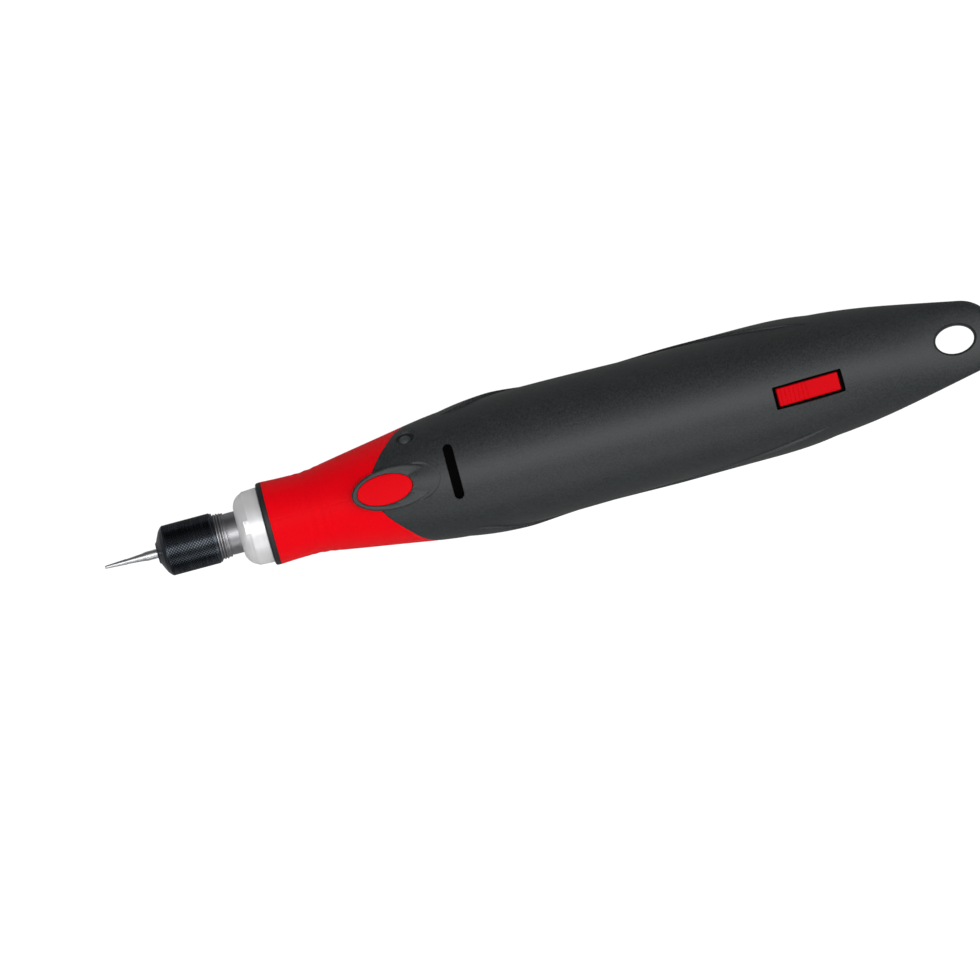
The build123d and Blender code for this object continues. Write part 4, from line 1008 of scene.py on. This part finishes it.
ribs = grown("sliderRibs", ribBars, redSliderAbs, {
    "Count": slider["ribs"], "Pitch": slider["pitch"] * mm, "Length": (slider["width"] * 2 - 0.5) * mm,
    "Width": slider["ribWidth"] * mm, "Height": slider["ribHeight"] * mm,
})
moved(ribs, standing(windowAcross, np.cross(windowOut, windowAcross), windowOut, np.array(windowOrigin) * mm)
      @ Matrix.Translation(((slider["middle"] - slider["half"] + slider["ribFirst"]) * mm, 0,
                            (slider["top"] - slider["ribSunk"]) * mm)))
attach(painted(shade(ribs, 40), redSliderAbs), "speed_slider")

# tray under the slider, its thin rim standing inside the window; its near-black colour is painted shade in the gap
# round the slider
track = {"profile": [(-1.78, 0.45), (-1.66, 0.45), (-1.54, 0.0), (-0.6, -0.005), (-0.5, -0.03), (-0.5, -0.07),
                     (-0.6, -0.1), (-1.49, -0.1)]}    # level, and how far out from the window's edge
sliderTrack = lofted("sliderTrack", [windowBox(*step) for step in track["profile"]], windowFrame)
sliderTrack = shade(boolean(sliderTrack, lofted("leverSlot", leverBoxes(-3, -1), windowFrame)), 32)
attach(painted(sliderTrack, trackPaintedShade), "housing")
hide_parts("slider_track")

# floor, light and camera

print("stage")
stage = {
    "camera": 3000.0, "across": 245.0, "roll": 15.0, "leanDegrees": 2.5, "alongX": -17.45, "belowAxis": 6.2,
    "floorHalf": 900, "floorLevel": -0.02, "floorColour": 0.9, "floorGlow": 0.86, "glowSeen": 1.13, "glowElse": 0.22,
    "skySoft": 0.28, "tentLean": (0.0, -0.28, 0.96), "tentFrom": 0.25, "tentLow": 0.05, "tentHigh": 0.5,
}


def emptyTree(owner):
    owner.use_nodes = True
    owner.node_tree.nodes.clear()
    return owner.node_tree


floor = meshPiece("floor", [(x * stage["floorHalf"], y * stage["floorHalf"], stage["floorLevel"])
                            for x, y in ((-1, -1), (1, -1), (1, 1), (-1, 1))], [[0, 1, 2, 3]])
floorMaterial = bpy.data.materials.new("paleFloor")
tree = emptyTree(floorMaterial)
ray = addNode(tree, "ShaderNodeLightPath").outputs
seen = addNode(tree, "ShaderNodeMath", {0: ray["Is Camera Ray"], 1: ray["Is Glossy Ray"]}, operation="MAXIMUM")
share = addNode(tree, "ShaderNodeMath", {0: seen, 1: stage["floorGlow"]}, operation="MULTIPLY")
level = addNode(tree, "ShaderNodeMapRange", {
    "Value": ray["Is Camera Ray"], "To Min": stage["glowElse"], "To Max": stage["glowSeen"]})
matte = addNode(tree, "ShaderNodeBsdfDiffuse", {"Color": (*[stage["floorColour"]] * 3, 1)})
glow = addNode(tree, "ShaderNodeEmission", {"Color": (1, 1, 1, 1), "Strength": level})
mixed = addNode(tree, "ShaderNodeMixShader", {0: share, 1: matte, 2: glow})
addNode(tree, "ShaderNodeOutputMaterial", {0: mixed})
painted(floor, floorMaterial)

# white to the camera; reflections see a softer tent that is bright overhead and dim at the sides
world = bpy.data.worlds.new("studio")
bpy.context.scene.world = world
tree = emptyTree(world)
ray = addNode(tree, "ShaderNodeLightPath").outputs
seen = addNode(tree, "ShaderNodeMath", {0: ray["Is Camera Ray"], 1: ray["Is Transmission Ray"]}, operation="MAXIMUM")
coords = addNode(tree, "ShaderNodeTexCoord")
facing = addNode(tree, "ShaderNodeVectorMath", {0: coords.outputs["Generated"], 1: stage["tentLean"]},
                 operation="DOT_PRODUCT")
tent = addNode(tree, "ShaderNodeMapRange", {
    "Value": facing.outputs["Value"], "From Min": stage["tentFrom"], "From Max": 1.0,
    "To Min": stage["tentLow"], "To Max": stage["tentHigh"]})
soft = addNode(tree, "ShaderNodeMix", {0: ray["Is Glossy Ray"], 2: stage["skySoft"], 3: tent}, data_type="FLOAT")
strength = addNode(tree, "ShaderNodeMix", {0: seen, 2: soft, 3: 1.0}, data_type="FLOAT")
sky = addNode(tree, "ShaderNodeBackground", {"Color": (1, 1, 1, 1), "Strength": strength})
addNode(tree, "ShaderNodeOutputWorld", {0: sky})

lamps = {
    "overhead": {"at": (120, -66, 520), "size": (1500, 240), "watts": 3.5, "look": (120, 0, 16)},
    "lowSide": {"at": (0, -420, 260), "size": (520, 200), "watts": 0.4, "look": (0, 0, 16)},
    "tailSide": {"at": (560, -80, 340), "size": (260, 200), "watts": 0.5, "look": (95, 0, 16)},
    "noseSide": {"at": (-520, -120, 200), "size": (160, 160), "watts": 0.14, "look": (-90, 0, 16)},
}
for name, lamp in lamps.items():
    data = bpy.data.lights.new(name, "AREA")
    data.shape, data.energy = "RECTANGLE", lamp["watts"]
    data.size, data.size_y = lamp["size"][0] * mm, lamp["size"][1] * mm
    light = linked(name, data)
    light.location = Vector(lamp["at"]) * mm
    light.rotation_euler = (Vector(lamp["look"]) * mm - light.location).to_track_quat("-Z", "Y").to_euler()

leanBack, roll = math.radians(stage["leanDegrees"]), math.radians(stage["roll"])
outward = Vector((0, -math.sin(leanBack), math.cos(leanBack)))
upward = Vector((0, math.cos(leanBack), math.sin(leanBack)))
alongX = Vector((1, 0, 0))
right = alongX * math.cos(roll) - upward * math.sin(roll)
top = alongX * math.sin(roll) + upward * math.cos(roll)
target = Vector((stage["alongX"], 0, body["axis"])) * mm - upward * stage["belowAxis"] * mm
cameraData = bpy.data.cameras.new("camera")
cameraData.sensor_width = 36
cameraData.lens = cameraData.sensor_width * stage["camera"] / stage["across"]
cameraData.clip_start, cameraData.clip_end = 0.01, 10
camera = linked("camera", cameraData)
camera.matrix_world = standing(right, top, outward, target + outward * stage["camera"] * mm)
bpy.context.scene.camera = camera
bpy.context.scene.view_settings.view_transform = "Standard"

print("pieces ready")
